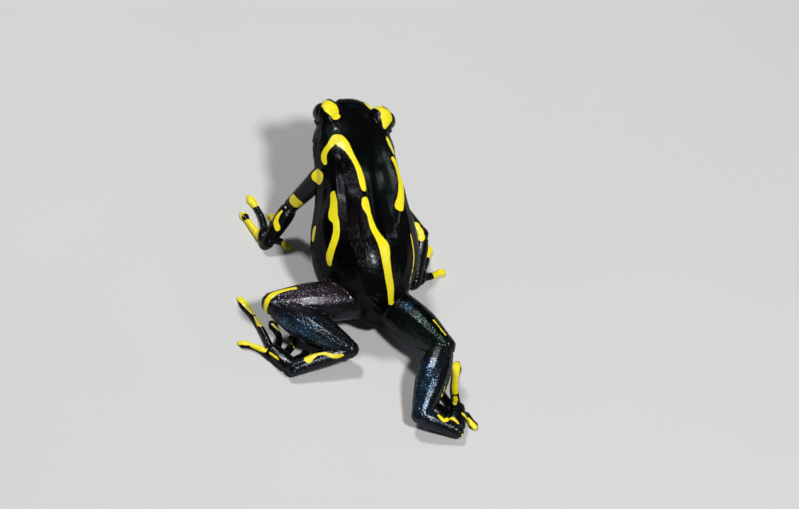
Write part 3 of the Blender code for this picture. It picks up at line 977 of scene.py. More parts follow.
STROKES = {
    "brow_left": Stroke(
        ((319.5, 101.4, 5), (324.8, 102.6, 10.5), (330.0, 106.3, 15.5), (333.8, 111.6, 14), (335.3, 115.0, 11))
    ),
    "brow_right": Stroke(
        ((382.2, 109.3, 8), (386.6, 112.4, 14.5), (387.2, 117.2, 14), (386, 122.5, 9.5), (385.2, 127.2, 4))
    ),
    "brow_right_front": Stroke(((370.5, 106.3, 3.4), (376, 107.8, 3.6), (381.5, 109.3, 4))),
    "hook_left": Stroke(
        (
            (325.4, 163, 5), (323.7, 157.5, 8), (324.8, 152, 8), (329.4, 145.6, 7.5), (332.8, 142, 10),
            (336.6, 139, 14.5), (341.5, 141.2, 12.5), (345.6, 145, 9.5), (349.2, 151, 7), (353.3, 158, 6),
            (357.2, 165.5, 6), (360.2, 173, 6.6), (362.6, 182.8, 6.8), (363.9, 189, 5.5),
        )
    ),
    "behind_eye_right": Stroke(((387, 138, 4), (390.5, 145, 7), (393.6, 152.5, 6))),
    "back_right": Stroke(
        ((393.2, 159, 6), (397.5, 167, 8), (401, 181, 8.5), (401.6, 194, 7.8), (399.4, 206.5, 11))
    ),
    "mid": Stroke(
        (
            (365.3, 199.5, 7), (366, 206, 8.5), (369.4, 214.5, 5.5), (373.9, 229, 8), (380.5, 240, 10),
            (384.3, 246.5, 12), (386, 260.4, 9.5), (388.7, 276.4, 8.5), (390.9, 289, 8), (390.9, 302.3, 6),
        )
    ),
    "flank_left": Stroke(
        (
            (332.5, 194, 7), (333.7, 204, 9), (332.5, 215, 11), (336.2, 222.6, 7),
            (336, 235, 8), (332.3, 246.5, 8.5), (329, 258, 9), (329.3, 263.5, 6),
        )
    ),
    "flank_right": Stroke(((410.5, 234, 1.6), (413.5, 250, 2.6), (413.5, 264, 2.6), (409.5, 284, 1.6))),
    "flank_spot": Stroke(((314.5, 229, 7), (312.8, 238, 9)), even=8),
    "flank_dot": Stroke(((310.5, 254, 4), (311, 259, 4)), even=8),
    "shoulder_spot": Stroke(((316.8, 175.2, 13.5), (319.4, 177.8, 14))),
    "elbow_spot": Stroke(((293, 200, 12), (297, 203.8, 12.5))),
    "forearm_stripe": Stroke(((282, 211, 2.5), (278, 215.3, 4.5), (275.6, 221.5, 6), (277.6, 228.3, 6))),
    "knee_left": Stroke(
        (
            (297, 288, 3.5), (287, 289.3, 5), (277.5, 292, 6),
            (269.8, 297, 6), (265.6, 304.5, 5.5), (265.8, 316, 3),
        ),
        even=3,
    ),
    "tarsus_left": Stroke(
        (
            (308.3, 358.8, 9), (312.3, 356.3, 7), (318, 353.8, 3.6),
            (327, 353.8, 3.6), (335.5, 356.8, 4.6), (343, 355, 3),
        )
    ),
    "toe_left_4_tip": Stroke(((239, 296, 9), (244, 301, 8.5), (249.6, 308, 7.5), (253.5, 313, 5))),
    "toe_left_4_patch": Stroke(((256.3, 317.5, 5), (260.3, 323.5, 8))),
    "toe_left_5": Stroke(
        ((239, 341, 10), (246, 341.5, 9.5), (252.5, 343, 9.5), (259.5, 346.5, 9), (264.5, 349.5, 7))
    ),
    "toe_left_5_root": Stroke(((270, 353, 2.6), (278.7, 359, 2.6))),
    "toe_left_3_edge": Stroke(((273, 324.5, 2.5), (283, 335, 2), (294, 347.7, 1.5))),
    "thigh_right": Stroke(((433.5, 320, 2), (439, 327, 2), (445.5, 335, 2))),
    "tarsus_right": Stroke(((439, 415.7, 4), (445, 421, 4), (451, 417.5, 4), (457.6, 423, 4))),
    "toe_right_4": Stroke(((456, 364, 9), (456, 375, 8), (455, 385, 8), (455, 392, 7))),
    "toe_right_4_root": Stroke(((455, 398, 6), (455, 404, 4))),
    "toe_right_5": Stroke(((463, 414, 4), (468, 420, 5), (475, 427, 6))),
    "foot_right_line": Stroke(((462, 434, 2), (463, 443, 2), (460, 452, 2))),
    "shank_right_edge": Stroke(((446, 380, 1), (444, 390, 1.3), (441, 403, 1))),
    "shank_right_dot": Stroke(((442, 395, 3), (442, 397, 3))),
}

# Markings that the photograph hides: places near the skin, in millimetres, and the half width at each.
HIDDEN_STROKES = (
    (
        (8.6, -1.5, 4.6, 0.35), (8.9, 2.0, 6.2, 0.6), (8.7, 5.5, 8.0, 0.45),
        (7.9, 9.0, 9.8, 0.6), (7.2, 12.0, 10.8, 0.4),
    ),
    ((9.4, 7.1, 7.7, 0.7), (9.6, 6.2, 7.4, 0.9), (10.0, 5.4, 6.8, 0.7)),
)
# The same in the head's frame.
CANTHUS_STRIPE = ((4.1, 2.2, 3.3, 0.6), (3.6, 3.2, 2.7, 0.62), (2.9, 4.3, 2.3, 0.6), (2.3, 5.2, 1.9, 0.4))


@dataclass(frozen=True)
class DigitMark:
    """Yellow round a digit, or black across it, from one fraction of its length to another."""

    side: Side
    kind: str
    number: int
    start: float
    end: float
    dark: bool = False


DIGIT_MARKS = (
    DigitMark(Side.LEFT, "arm", 4, 0.0, 1.0),
    DigitMark(Side.LEFT, "arm", 4, 0.79, 0.81, dark=True),
    DigitMark(Side.LEFT, "arm", 3, 0.80, 1.0),
    DigitMark(Side.LEFT, "arm", 2, 0.78, 1.0),
    DigitMark(Side.LEFT, "arm", 1, 0.85, 1.0),
    DigitMark(Side.RIGHT, "arm", 4, 0.6, 1.0),
    DigitMark(Side.RIGHT, "arm", 3, 0.7, 1.0),
)


@dataclass
class Markings:
    """Measures how far each place of the skin is inside the yellow markings.

    Attributes:
        tissue: The skin's surface.
        photo: Finds places of the photograph on it.
        digit_height: How high the middle of a digit lies over the floor.
        digit_radii: How far a digit's yellow reaches from its middle, at three places along it.
        parting: How far the black across a digit reaches from its middle.
        least: The lowest depth that is kept on the skin.
        most: The highest.
    """

    tissue: Tissue
    photo: PhotoReach
    digit_height: float = 0.6
    digit_radii: Triple = (1.0, 1.0, 1.3)
    parting: float = 0.66
    least: float = -2.0
    most: float = 1.5

    def __post_init__(self) -> None:
        self.depth = np.full(len(self.tissue.place), self.least - 1.0)

    def add(self, path: Sequence[Vector], radii: Sequence[float], dark: bool) -> None:
        """Add a marking along a path, or take one away where it is dark.

        Args:
            path: The places along the marking's middle.
            radii: Its half width at each.
            dark: Whether it takes yellow away.
        """
        apart, fraction = along_path(self.tissue.place, path)
        radius = np.interp(fraction, range(len(radii)), radii)
        inside = radius - apart
        if dark:
            self.depth = np.minimum(self.depth, -inside)
        else:
            self.depth = np.maximum(self.depth, inside)

    def add_stroke(self, stroke: Stroke) -> None:
        """Add a marking that the photograph shows.

        Args:
            stroke: The marking.
        """
        pixels = smooth_row(stroke.pixels)
        path = self.photo.path(pixels, stroke.even)
        self.add(path, [pixel[2] * VIEW.pixel / 2 for pixel in pixels], False)

    def add_digit(self, mark: DigitMark) -> None:
        """Add a marking round a digit.

        Args:
            mark: The marking.
        """
        limb = next(limb for limb in LIMBS if limb.side is mark.side and limb.kind == mark.kind)
        points = [np.array((*place, self.digit_height)) for place in limb.digits[mark.number - 1]]
        places = []
        for fraction in (mark.start, (mark.start + mark.end) / 2, mark.end):
            place = fraction * 2
            k = min(int(place), 1)
            places.append(points[k] + (points[k + 1] - points[k]) * (place - k))
        self.add(places, (self.parting,) * 3 if mark.dark else self.digit_radii, mark.dark)

    def add_hidden(self, rows: Sequence[Sequence[float]]) -> None:
        """Add a marking that the photograph hides, from places near the skin and its half width at each.

        Args:
            rows: The places, each with the half width there.
        """
        curve = smooth_row(rows)
        path = [self.photo.tree.find_nearest(Vector(row[:3]))[0] for row in curve]
        self.add(path, [row[3] for row in curve], False)

    def run(self) -> None:
        """Lay every marking and keep the result on the skin."""
        for stroke in STROKES.values():
            self.add_stroke(stroke)
        for rows in HIDDEN_STROKES:
            self.add_hidden(rows)
        self.add_hidden([(*HEAD.world(Vector(row[:3]), Side.RIGHT), row[3]) for row in CANTHUS_STRIPE])
        for mark in DIGIT_MARKS:
            self.add_digit(mark)
        self.tissue.store("mark", np.clip(self.depth, self.least, self.most))


# Places of the photograph where the skin's finish changes: pixels from the frame's left and top, and the
# reach in millimetres.
TINTS = {
    "green": ((329, 138, 2.4), (378, 160, 2.6), (380, 185, 2.6), (420, 325, 2.8), (433, 340, 2.4)),
    "violet": ((344, 206, 2.0), (350, 225, 3.4), (345, 255, 3.4), (300, 292, 2.6), (330, 292, 2.8)),
    "teal": (
        (285, 324, 1.3), (304, 330, 1.8), (322, 344, 1.2), (427, 366, 1.6),
        (423, 385, 1.7), (418, 405, 1.8), (352.5, 105, 0.65), (410, 304, 0.9),
    ),
    "matte": (
        (342, 158, 1.5), (376, 195, 2.6), (372, 160, 2.2), (379, 222, 2.4), (343, 225, 3.0),
        (348, 262, 2.4), (358, 232, 2.4), (350, 190, 3.0), (348, 106, 2.2), (360, 108, 2.2),
        (404, 301, 2.2), (414, 307, 2.6), (427, 318, 2.6), (438, 332, 2.0),
    ),
    "grain": (
        (325, 109, 0.5), (330.5, 117, 0.5), (336, 125, 0.6), (372, 259, 2.3), (393, 178, 1.6),
        (300, 290, 2.4), (325, 290, 2.4), (305, 325, 1.4), (330, 345, 2.0),
    ),
}

REGIONS = {
    "body": ("torso", "head"),
    "arm": ("upper_arm", "forearm", "hand", "finger"),
    "leg": ("thigh", "shank", "tarsus"),
    "foot": ("foot", "toe"),
}


@dataclass
class Regions:
    """Stores which part of the body each place of the skin belongs to, softly blended."""

    tissue: Tissue
    photo: PhotoReach
    nodes: dict[str, bpy.types.Object]
    limb_blur: int = 14
    slope_blur: int = 10
    under: tuple[float, float] = (-0.15, -0.75)
    flank: tuple[float, float] = (0.62, 0.25)
    lid_edge: tuple[float, float] = (1.26, 1.14)

    def tree(self, words: Sequence[str]) -> BVHTree:
        """Give a search tree of the solids whose names start with any of the words.

        Args:
            words: How the solids' names start.

        Returns:
            The search tree, in millimetres.
        """
        bm = bmesh.new()
        for name, node in self.nodes.items():
            if name.startswith(tuple(words)):
                bm.from_mesh(node.data)
        bmesh.ops.scale(bm, vec=(1 / METRES,) * 3, verts=bm.verts)
        found = BVHTree.FromBMesh(bm)
        bm.free()
        return found

    def store_parts(self) -> None:
        """Keep the share of the arms, the legs and the feet at each place."""
        places = [Vector(place) for place in self.tissue.place]
        apart = {}
        for name, words in REGIONS.items():
            tree = self.tree(words)
            apart[name] = np.array([tree.find_nearest(place)[3] for place in places])
        nearest = np.minimum.reduce(list(apart.values()))
        for name in ("arm", "leg", "foot"):
            share = (apart[name] <= nearest + 1e-6).astype(float)
            self.tissue.store(name, self.tissue.blurred(share, self.limb_blur))

    def store_slopes(self) -> None:
        """Keep the share of what faces down, and of what stands steep."""
        for name, edges in (("under", self.under), ("flank", self.flank)):
            share = smoothstep(*edges, self.tissue.normal[:, 2])
            self.tissue.store(name, self.tissue.blurred(share, self.slope_blur))

    def store_tints(self) -> None:
        """Keep the share of each tint that the photograph shows, and of the lids."""
        for name, spots in TINTS.items():
            share = np.zeros(len(self.tissue.place))
            for x, y, reach in spots:
                apart = np.linalg.norm(self.tissue.place - np.array(self.photo.place(x, y)), axis=1)
                share = np.maximum(share, hill(apart, reach))
            self.tissue.store(name, share)
        ring = np.minimum(*(HEAD.lid_ring(self.tissue.place, side) for side in Side))
        self.tissue.store("lid", smoothstep(*self.lid_edge, ring))

    def run(self) -> None:
        """Measure each region and keep it on the skin."""
        self.store_parts()
        self.store_slopes()
        self.store_tints()


class Wire:
    """A shader socket that adds, multiplies and compares like a number."""

    def __init__(self, shader: Shader, socket: bpy.types.NodeSocket) -> None:
        self.shader = shader
        self.socket = socket

    def math(self, operation: str, *others: Wire | float) -> Wire:
        """Apply a Math node to this wire and others.

        Args:
            operation: The node's operation.
            *others: Its other inputs.

        Returns:
            The wire of the result.
        """
        node = self.shader.tree.nodes.new("ShaderNodeMath")
        node.operation = operation
        for socket, value in zip(node.inputs, (self, *others)):
            self.shader.feed(socket, value)
        return Wire(self.shader, node.outputs[0])

    def __add__(self, other: Wire | float) -> Wire:
        return self.math("ADD", other)

    def __sub__(self, other: Wire | float) -> Wire:
        return self.math("SUBTRACT", other)

    def __mul__(self, other: Wire | float) -> Wire:
        return self.math("MULTIPLY", other)

    def __radd__(self, other: float) -> Wire:
        return self.math("ADD", other)

    def __rmul__(self, other: float) -> Wire:
        return self.math("MULTIPLY", other)

    def __rsub__(self, other: float) -> Wire:
        return (self * -1.0).math("ADD", other)

    def step(self, low: float, high: float) -> Wire:
        """Rise smoothly from 0 to 1 between two values; they may be given falling.

        Args:
            low: Where the result is 0.
            high: Where the result is 1.

        Returns:
            The wire of the result.
        """
        node = self.shader.tree.nodes.new("ShaderNodeMapRange")
        node.interpolation_type = "SMOOTHSTEP"
        rising = low < high
        self.shader.feed(node.inputs["Value"], self)
        node.inputs["From Min"].default_value = min(low, high)
        node.inputs["From Max"].default_value = max(low, high)
        node.inputs["To Min"].default_value = 0.0 if rising else 1.0
        node.inputs["To Max"].default_value = 1.0 if rising else 0.0
        return Wire(self.shader, node.outputs["Result"])


class Shader:
    """A material whose nodes are written as sums and mixes of wires."""

    def __init__(self, name: str) -> None:
        self.material = bpy.data.materials.new(name)
        self.material.use_nodes = True
        self.tree = self.material.node_tree
        self.surface = self.tree.nodes["Principled BSDF"]
        self.place = self.node("ShaderNodeTexCoord", "Object")

    def feed(self, socket: bpy.types.NodeSocket, value: Wire | float | Sequence[float]) -> None:
        """Link a wire to a socket, or set its value.

        Args:
            socket: The socket.
            value: The wire or the value.
        """
        if isinstance(value, Wire):
            self.tree.links.new(value.socket, socket)
        else:
            socket.default_value = value

    def node(self, kind: str, output: str | int = 0, inputs: dict | None = None, **settings) -> Wire:
        """Add any node.

        Args:
            kind: The node's type.
            output: Which output to give back.
            inputs: Values or wires by socket name.
            **settings: The node's own properties.

        Returns:
            The wire of the output.
        """
        node = self.tree.nodes.new(kind)
        for key, value in settings.items():
            setattr(node, key, value)
        for key, value in (inputs or {}).items():
            self.feed(node.inputs[key], value)
        return Wire(self, node.outputs[output])

    def attribute(self, name: str) -> Wire:
        """Read a value that the surface carries."""
        return self.node("ShaderNodeAttribute", "Fac", attribute_name=name)

    def noise(self, size: float, detail: float = 2.0, distortion: float = 0.0) -> Wire:
        """Give cloudy noise with features of a size in millimetres, between 0 and 1.

        Args:
            size: The size of the features, in millimetres.
            detail: How many finer layers are added.
            distortion: How far the features are drawn out of shape.

        Returns:
            The wire of the noise.
        """
        inputs = {"Vector": self.place, "Scale": 1 / (size * METRES)}
        inputs.update({"Detail": detail, "Distortion": distortion})
        return self.node("ShaderNodeTexNoise", "Fac", inputs)

    def cells(self, size: float, output: str = "Distance") -> Wire:
        """Give round cells of a size in millimetres: the distance from their middles, or a colour for each."""
        inputs = {"Vector": self.place, "Scale": 1 / (size * METRES)}
        return self.node("ShaderNodeTexVoronoi", output, inputs)

    def channel(self, name: str, colour: Wire) -> Wire:
        """Take one channel out of a colour."""
        return self.node("ShaderNodeSeparateColor", name, {"Color": colour})

    def mix(self, share: Wire | float, low: Wire | Triple, high: Wire | Triple) -> Wire:
        """Blend two colours.

        Args:
            share: How much of the second colour shows.
            low: The first colour.
            high: The second colour.

        Returns:
            The wire of the blend.
        """
        node = self.tree.nodes.new("ShaderNodeMix")
        node.data_type = "RGBA"
        self.feed(node.inputs[0], share)
        for socket, value in ((node.inputs[6], low), (node.inputs[7], high)):
            self.feed(socket, value if isinstance(value, Wire) else (*value, 1.0))
        return Wire(self, node.outputs[2])

    def bump(self, height: Wire) -> Wire:
        """Raise the surface by a height in millimetres."""
        return self.node("ShaderNodeBump", "Normal", {"Height": height, "Strength": 1.0, "Distance": METRES})

    def vary(self, **values: Wire) -> None:
        """Link the surface's sockets, named with underscores for spaces, to what changes over it."""
        for name, value in values.items():
            self.feed(self.surface.inputs[name.replace("_", " ")], value)

    def fix(self, **values: float | Sequence[float]) -> None:
        """Set the surface's sockets, named with underscores for spaces, to what is the same all over it."""
        for name, value in values.items():
            self.surface.inputs[name.replace("_", " ")].default_value = value


@dataclass(frozen=True)
class SkinColours:
    """The skin's colours, in linear light."""

    black: Triple = (0.0060, 0.0060, 0.0070)
    brown: Triple = (0.0085, 0.0050, 0.0065)
    green_black: Triple = (0.0080, 0.0190, 0.0115)
    # Painted highlight: green dots that stand in for glints where the skin is tinted green.
    painted_green_glint: Triple = (0.16, 0.30, 0.12)
    blue: Triple = (0.010, 0.034, 0.062)
    blue_fleck: Triple = (0.050, 0.230, 0.360)
    # Painted highlight: pale dots that stand in for glints on the wet granules.
    painted_glint: Triple = (0.42, 0.36, 0.38)
    yellow: Triple = (0.98, 0.86, 0.0)
    orange: Triple = (0.95, 0.50, 0.0)
    lid_green: Triple = (0.11, 0.12, 0.02)
    teal_sheen: Triple = (0.070, 0.230, 0.440)
    violet_sheen: Triple = (0.040, 0.027, 0.036)
    belly_blue: Triple = (0.02, 0.055, 0.14)


@dataclass(frozen=True)
class SkinTexture:
    """The sizes of the skin's textures, and how high they stand, in millimetres."""

    granule: float = 0.44
    bead: float = 0.28
    # The size of the cells that hold the painted glints.
    glint_cell: float = 0.30
    grain: float = 0.09
    patch: float = 1.1
    cloud: float = 3.2
    marbling: float = 1.7
    orange_patch: float = 0.8
    ragged: float = 0.5
    ragged_reach: float = 0.16
    granule_height: float = 0.034
    bead_height: float = 0.020
    patch_height: float = 0.03
    grain_height: float = 0.004


@dataclass(frozen=True)
class SkinGloss:
    """How wet and how dark the skin shines.

    Attributes:
        smooth: The wet coat on smooth skin.
        granular: What granular skin adds to it.
        grain: What grainy places of the back add to it.
        on_yellow: What yellow skin takes off it.
        least: The coat on matt skin.
        flank_loss: The share that steep skin loses.
        between: The share that is lost between granules.
        on_beads: The share that comes back on them.
        deep: How metallic smooth black skin is, which keeps pale reflections of the floor off it.
        deep_loss: What granular skin takes off that.
        rough: The roughness of black skin.
        rough_patch: What patches add to it.
        rough_yellow: What yellow adds to it.
        index: The refractive index below the coat.
        tint: The tint of reflections below the coat.
        coat_index: The coat's refractive index.
        coat_roughness: The coat's roughness.
    """

    smooth: float = 0.36
    granular: float = 0.42
    grain: float = 0.38
    on_yellow: float = 0.20
    least: float = 0.03
    flank_loss: float = 0.8
    between: float = 0.85
    on_beads: float = 0.9
    deep: float = 0.92
    deep_loss: float = 0.34
    rough: float = 0.21
    rough_patch: float = 0.08
    rough_yellow: float = 0.20
    index: float = 2.5
    tint: tuple[float, float, float, float] = (0.22, 0.25, 0.27, 1.0)
    coat_index: float = 1.55
    coat_roughness: float = 0.20


class SkinFinish:
    """The wet, granular skin with its markings."""

    def __init__(self, colours: SkinColours, texture: SkinTexture, gloss: SkinGloss) -> None:
        self.colours = colours
        self.texture = texture
        self.gloss = gloss
        self.shader = shader = Shader("frog_skin")
        self.leg = shader.attribute("leg")
        self.foot = shader.attribute("foot")
        self.grain = shader.attribute("grain")
        self.green = shader.attribute("green")
        self.matte = shader.attribute("matte")
        self.granular = (self.leg + 0.7 * self.foot + 0.55 * shader.attribute("arm")).math("MINIMUM", 1.0)
        self.bare = (self.granular + self.grain).math("MINIMUM", 1.0)
        self.granules = shader.cells(texture.granule)
        self.beads = shader.cells(texture.bead)
        self.patches = shader.noise(texture.patch, 3.0)
        ragged = shader.noise(texture.ragged, 3.0) - 0.5
        self.depth = shader.attribute("mark") + ragged * texture.ragged_reach
        self.edge = self.depth.step(-0.03, 0.05)

    def black(self) -> Wire:
        """Give the black of the body, tinted brown and green, and the blue granules of the legs.

        Returns:
            The wire of the colour.
        """
        shader, colours = self.shader, self.colours
        violet = shader.attribute("violet")
        random = shader.channel("Red", shader.cells(self.texture.granule, "Color"))
        cloud = shader.noise(self.texture.cloud, 3.0)
        dark = shader.mix(violet * (0.4 + cloud), colours.black, colours.brown)
        dark = shader.mix(self.green * (0.4 + self.patches), dark, colours.green_black)
        blue = shader.mix(self.granules.step(0.70, 0.25), colours.black, colours.blue)
        blue = shader.mix(random.step(0.72, 0.95) * self.granules.step(0.42, 0.12), blue, colours.blue_fleck)
        dark = shader.mix(0.10 * self.leg, dark, blue)
        teal = 0.15 + 0.85 * self.granules.step(0.46, 0.22) * random.step(0.25, 0.55)
        dark = shader.mix(shader.attribute("teal") * teal, dark, colours.teal_sheen)
        return shader.mix(violet * self.leg, dark, colours.violet_sheen)

    def painted_glints(self, dark: Wire) -> Wire:
        """Sprinkle painted glints over the skin: pale painted highlights, and green painted glints where it is
        tinted green.

        Args:
            dark: The colour below.

        Returns:
            The wire of the colour.
        """
        shader, colours = self.shader, self.colours
        middles = shader.cells(self.texture.glint_cell)
        random = shader.channel("Green", shader.cells(self.texture.glint_cell, "Color"))
        # Pale painted glints, denser on granular skin.
        painted_glint_share = random.step(0.95, 0.98) * middles.step(0.30, 0.12)
        dark = shader.mix(painted_glint_share * (0.04 + 0.08 * self.granular), dark, colours.painted_glint)
        # Green painted glints where the skin is tinted green.
        painted_green_glint_share = random.step(0.80, 0.88) * middles.step(0.36, 0.12)
        return shader.mix(painted_green_glint_share * self.green * 0.5, dark, colours.painted_green_glint)

    def marbled(self, dark: Wire) -> Wire:
        """Marble what faces down, apart from the feet, in blue.

        Args:
            dark: The colour below.

        Returns:
            The wire of the colour.
        """
        marble = self.shader.noise(self.texture.marbling, 2.0, 0.6).step(0.52, 0.56)
        share = marble * self.shader.attribute("under") * (1.0 - self.foot) * 0.8
        return self.shader.mix(share, dark, self.colours.belly_blue)

    def gold(self) -> Wire:
        """Give the yellow of the markings, warmer at their edges and in patches.

        Returns:
            The wire of the colour.
        """
        shader, colours = self.shader, self.colours
        gold = shader.mix(self.depth.step(0.12, 0.0) * 0.5, colours.yellow, colours.orange)
        patch = shader.noise(self.texture.orange_patch, 2.0).step(0.50, 0.85)
        return shader.mix(patch * 0.4, gold, colours.orange)

    def height(self) -> Wire:
        """Give the height of the skin's texture.

        Returns:
            The wire of the height, in millimetres.
        """
        texture = self.texture
        granules = self.granules.step(0.66, 0.08) * texture.granule_height * (self.granular + self.grain)
        beads = texture.bead_height * self.beads.step(0.62, 0.08) * (1.0 - self.granular * 0.4 + self.grain)
        grain = texture.grain_height * self.shader.noise(texture.grain, 2.0)
        return granules + beads + grain + texture.patch_height * self.patches

    def wet(self) -> Wire:
        """Give the weight of the wet coat.

        Returns:
            The wire of the weight, up to 1.
        """
        gloss = self.gloss
        beads = self.granules.step(0.50, 0.16) * (0.45 + 0.55 * self.beads.step(0.50, 0.20))
        wet = gloss.smooth + gloss.granular * self.granular + gloss.grain * self.grain
        wet = wet - self.matte - gloss.on_yellow * self.edge
        wet = wet * (1.0 - self.bare * gloss.between + gloss.on_beads * self.bare * beads)
        wet = wet.math("MAXIMUM", gloss.least) * (1.0 - gloss.flank_loss * self.shader.attribute("flank"))
        return wet.math("MINIMUM", 1.0)

    def build(self) -> bpy.types.Material:
        """Put the finish together.

        Returns:
            The skin's material.
        """
        shader, gloss = self.shader, self.gloss
        # The black skin gets its painted glints, then its blue belly marbling.
        dark = self.marbled(self.painted_glints(self.black()))
        colour = shader.mix(self.edge, dark, self.gold())
        shader.vary(
            Base_Color=shader.mix(shader.attribute("lid") * 0.5, colour, self.colours.lid_green),
            Roughness=gloss.rough + gloss.rough_patch * self.patches + gloss.rough_yellow * self.edge,
            Metallic=(gloss.deep - gloss.deep_loss * self.bare * (1.0 - self.matte)) * (1.0 - self.edge),
            Coat_Weight=self.wet(),
            Normal=shader.bump(self.height()),
        )
        shader.fix(
            IOR=gloss.index,
            Specular_Tint=gloss.tint,
            Coat_IOR=gloss.coat_index,
            Coat_Roughness=gloss.coat_roughness,
        )
        return shader.material


@dataclass(frozen=True)
class EyeFinish:
    """The eye's finish: a dark iris with a fine ring, a level pupil and a wet gloss."""

    iris: Triple = (0.004, 0.003, 0.002)
    ray: Triple = (0.022, 0.013, 0.006)
    ring: Triple = (0.20, 0.13, 0.03)
    pupil: Triple = (0.001, 0.001, 0.001)
    rim: Triple = (0.12, 0.13, 0.02)
    ray_size: float = 0.25

    def build(self) -> bpy.types.Material:
        """Make the eye's material."""
        shader = Shader("frog_eye")
        pupil = shader.attribute("pupil")
        rays = shader.noise(self.ray_size, 3.0, 0.8)
        colour = shader.mix(rays.step(0.4, 0.7), self.iris, self.ray)
        colour = shader.mix(pupil.step(1.24, 1.08) * 0.5, colour, self.ring)
        colour = shader.mix(pupil.step(1.06, 0.98), colour, self.pupil)
        colour = shader.mix(shader.attribute("rim").step(0.94, 1.02) * 0.85, colour, self.rim)
        shader.vary(Base_Color=colour)
        shader.fix(Roughness=0.10, IOR=1.34, Coat_Weight=0.35, Coat_Roughness=0.02)
        return shader.material


@dataclass
class Eye:
    """One eyeball with its raised cornea.

    Attributes:
        side: The eye's side.
        cornea: How far the cornea stands out from the ball.
        cornea_reach: The angle that it reaches from the gaze.
        play: The gap between the ball and the lids.
        pupil_along: The angle from the pupil's middle to its front end.
        pupil_above: The angle to its upper edge.
        behind: The ring that the back of the ball is given, outside the pupil and the lids.
    """

    side: Side
    cornea: float = 0.24
    cornea_reach: float = 0.72
    play: float = 0.02
    rings: int = 48
    segments: int = 72
    pupil_along: float = 0.44
    pupil_above: float = 0.30
    behind: float = 4.0

    def measures(self, angle: float, turn: float) -> tuple[float, float]:
        """Give the rings round the pupil and round the opening at an angle from the gaze and a turn about it.

        Args:
            angle: The angle from the gaze.
            turn: The turn about it.

        Returns:
            The ring round the pupil and the ring round the opening.
        """
        along, above = angle * math.cos(turn), angle * math.sin(turn)
        tall = HEAD.opening_above if above > 0 else HEAD.opening_below
        pupil = math.hypot(along / self.pupil_along, above / self.pupil_above)
        return pupil, math.hypot(along / HEAD.opening_along, above / tall)

    def ball(self) -> bmesh.types.BMesh:
        """Make the ball in place, with its rings as layers of its points.

        Returns:
            The edited mesh.
        """
        out, ahead, above = HEAD.gaze_axes(self.side)
        centre = HEAD.world(HEAD.eye, self.side)
        radius = HEAD.ball - self.play
        bm = bmesh.new()
        layers = [bm.verts.layers.float.new(name) for name in ("pupil", "rim")]
        rows = []
        for k in range(1, self.rings):
            angle = math.pi * k / self.rings
            bulge = self.cornea * math.exp(-((angle / self.cornea_reach) ** 4))
            row = []
            for turn in (2 * math.pi * j / self.segments for j in range(self.segments)):
                spread = ahead * math.cos(turn) + above * math.sin(turn)
                toward = out * math.cos(angle) + spread * math.sin(angle)
                vert = bm.verts.new((centre + toward * (radius + bulge)) * METRES)
                for layer, value in zip(layers, self.measures(angle, turn)):
                    vert[layer] = value
                row.append(vert)
            rows.append(row)
        front = bm.verts.new((centre + out * (radius + self.cornea)) * METRES)
        back = bm.verts.new((centre - out * radius) * METRES)
        for layer in layers:
            back[layer] = self.behind
        for j in range(self.segments):
            after = (j + 1) % self.segments
            bm.faces.new((front, rows[0][after], rows[0][j]))
            bm.faces.new((back, rows[-1][j], rows[-1][after]))
            for near, far in zip(rows, rows[1:]):
                bm.faces.new((near[j], near[after], far[after], far[j]))
        bmesh.ops.recalc_face_normals(bm, faces=bm.faces)
        for face in bm.faces:
            face.smooth = True
        return bm

    def build(self, material: bpy.types.Material) -> bpy.types.Object:
        """Make the eyeball, in place.

        Args:
            material: The eye's material.

        Returns:
            The eyeball's object.
        """
        mesh = mesh_of(self.ball(), f"eyeball_{self.side.label}")
        mesh.materials.append(material)
        return placed(mesh)


@dataclass
class Skin:
    """The finished skin: fused, sculpted, marked and thinned to its share of triangles."""

    nodes: dict[str, bpy.types.Object]
    quick: bool
    voxel: float = 0.15
    quick_voxel: float = 0.22
    most_triangles: int = 192000

    def thin(self, skin: bpy.types.Object) -> None:
        """Bring the skin down to its share of triangles.

        Args:
            skin: The skin's object, in millimetres.
        """
        triangles = sum(len(polygon.vertices) - 2 for polygon in skin.data.polygons)
        LOG.info("skin sculpted: %d triangles", triangles)
        if triangles > self.most_triangles:
            modifier = skin.modifiers.new("thin", "DECIMATE")
            modifier.ratio = self.most_triangles / triangles
            skin.data = evaluated_mesh(skin, "skin")
            skin.modifiers.clear()

    def build(self, material: bpy.types.Material) -> bpy.types.Object:
        """Make the skin, in place.

        Args:
            material: The skin's material.

        Returns:
            The skin's object.
        """
        tissue = FleshUnion(self.nodes, self.quick_voxel if self.quick else self.voxel).build()
        Sculptor(tissue, PhotoReach(tissue)).run()
        skin = placed(tissue.mesh)
        self.thin(skin)
        tissue = Tissue(skin.data)
        photo = PhotoReach(tissue)
        Markings(tissue, photo).run()
        Regions(tissue, photo, self.nodes).run()
        skin.data.transform(Matrix.Scale(METRES, 4))
        skin.data.polygons.foreach_set("use_smooth", [True] * len(skin.data.polygons))
        skin.data.materials.clear()
        skin.data.materials.append(material)
        skin.data.update()
        return skin


@dataclass(frozen=True)
class Lamp:
    """A soft area light: where it stands, how wide it is and how bright."""

    name: str
    place: Triple
    width: float
    power: float
    colour: Triple = (1.0, 1.0, 1.0)


LAMPS = (
    Lamp("key", (0.110, -0.31, 0.51), 0.085, 2.5),
    Lamp("top", (-0.12, 0.31, 0.52), 0.10, 1.7),
    Lamp("side", (0.45, 0.20, 0.35), 0.05, 0.10, (0.88, 0.94, 1.0)),
)


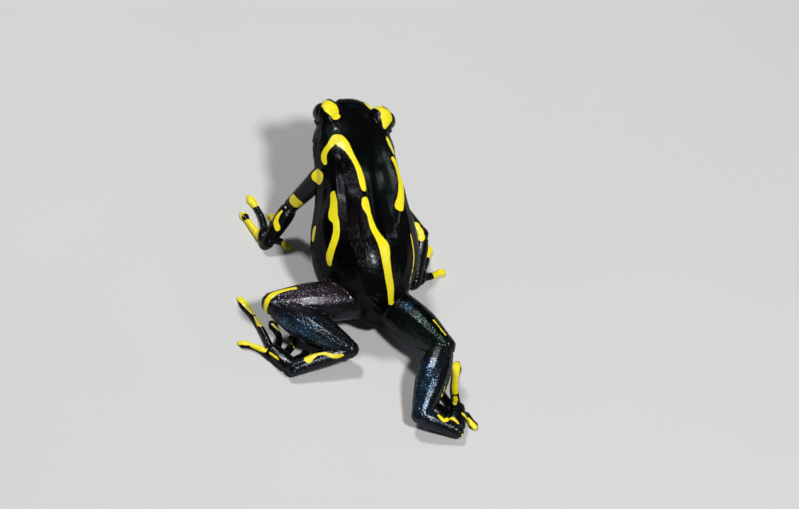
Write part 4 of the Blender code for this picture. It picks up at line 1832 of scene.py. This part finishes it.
@dataclass(frozen=True)
class Studio:
    """The plain floor, the soft lights and the pale surroundings."""

    lamps: tuple[Lamp, ...] = LAMPS
    floor_size: float = 1.5
    floor_dark: Triple = (0.64, 0.64, 0.63)
    floor_pale: Triple = (0.68, 0.68, 0.67)
    floor_cloud: float = 60.0
    floor_roughness: float = 0.6
    sky: tuple[float, float, float, float] = (0.80, 0.84, 0.90, 1.0)
    sky_strength: float = 0.07

    def floor(self) -> bpy.types.Object:
        """Lay a pale floor.

        Returns:
            The floor's object.
        """
        bm = bmesh.new()
        bmesh.ops.create_grid(bm, x_segments=1, y_segments=1, size=self.floor_size)
        mesh = mesh_of(bm, "floor")
        shader = Shader("floor")
        shader.vary(Base_Color=shader.mix(shader.noise(self.floor_cloud), self.floor_dark, self.floor_pale))
        shader.fix(Roughness=self.floor_roughness)
        mesh.materials.append(shader.material)
        floor = placed(mesh)
        return floor

    def light(self) -> None:
        """Set up the lamps and the pale surroundings."""
        for lamp in self.lamps:
            data = bpy.data.lights.new(lamp.name, "AREA")
            data.shape = "DISK"
            data.size = lamp.width
            data.energy = lamp.power
            data.color = lamp.colour
            place = Vector(lamp.place)
            turn = place.to_track_quat("Z", "Y").to_matrix().to_4x4()
            placed(data).matrix_world = Matrix.Translation(place) @ turn
        world = bpy.data.worlds.new("surroundings")
        world.use_nodes = True
        backdrop = world.node_tree.nodes["Background"]
        backdrop.inputs["Color"].default_value = self.sky
        backdrop.inputs["Strength"].default_value = self.sky_strength
        bpy.context.scene.world = world
        bpy.context.scene.view_settings.view_transform = "Standard"


def main() -> None:
    """Build the frog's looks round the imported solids."""
    logging.basicConfig(level=logging.INFO)
    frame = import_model()
    VIEW.add_camera()
    nodes = frame["nodes"]

    finish = SkinFinish(SkinColours(), SkinTexture(), SkinGloss())
    skin = Skin(nodes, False).build(finish.build())
    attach(skin, "root")
    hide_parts(*[name for name in nodes if not name.startswith("eye_")])
    LOG.info("skin done")

    eye_material = EyeFinish().build()
    for side in Side:
        ball = Eye(side).build(eye_material)
        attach(ball, "root")
        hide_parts(f"eye_{side.label}")
        LOG.info("%s eye done", side.label)

    studio = Studio()
    studio.floor()
    studio.light()
    LOG.info("floor and lights done")


if __name__ == "__main__":
    main()
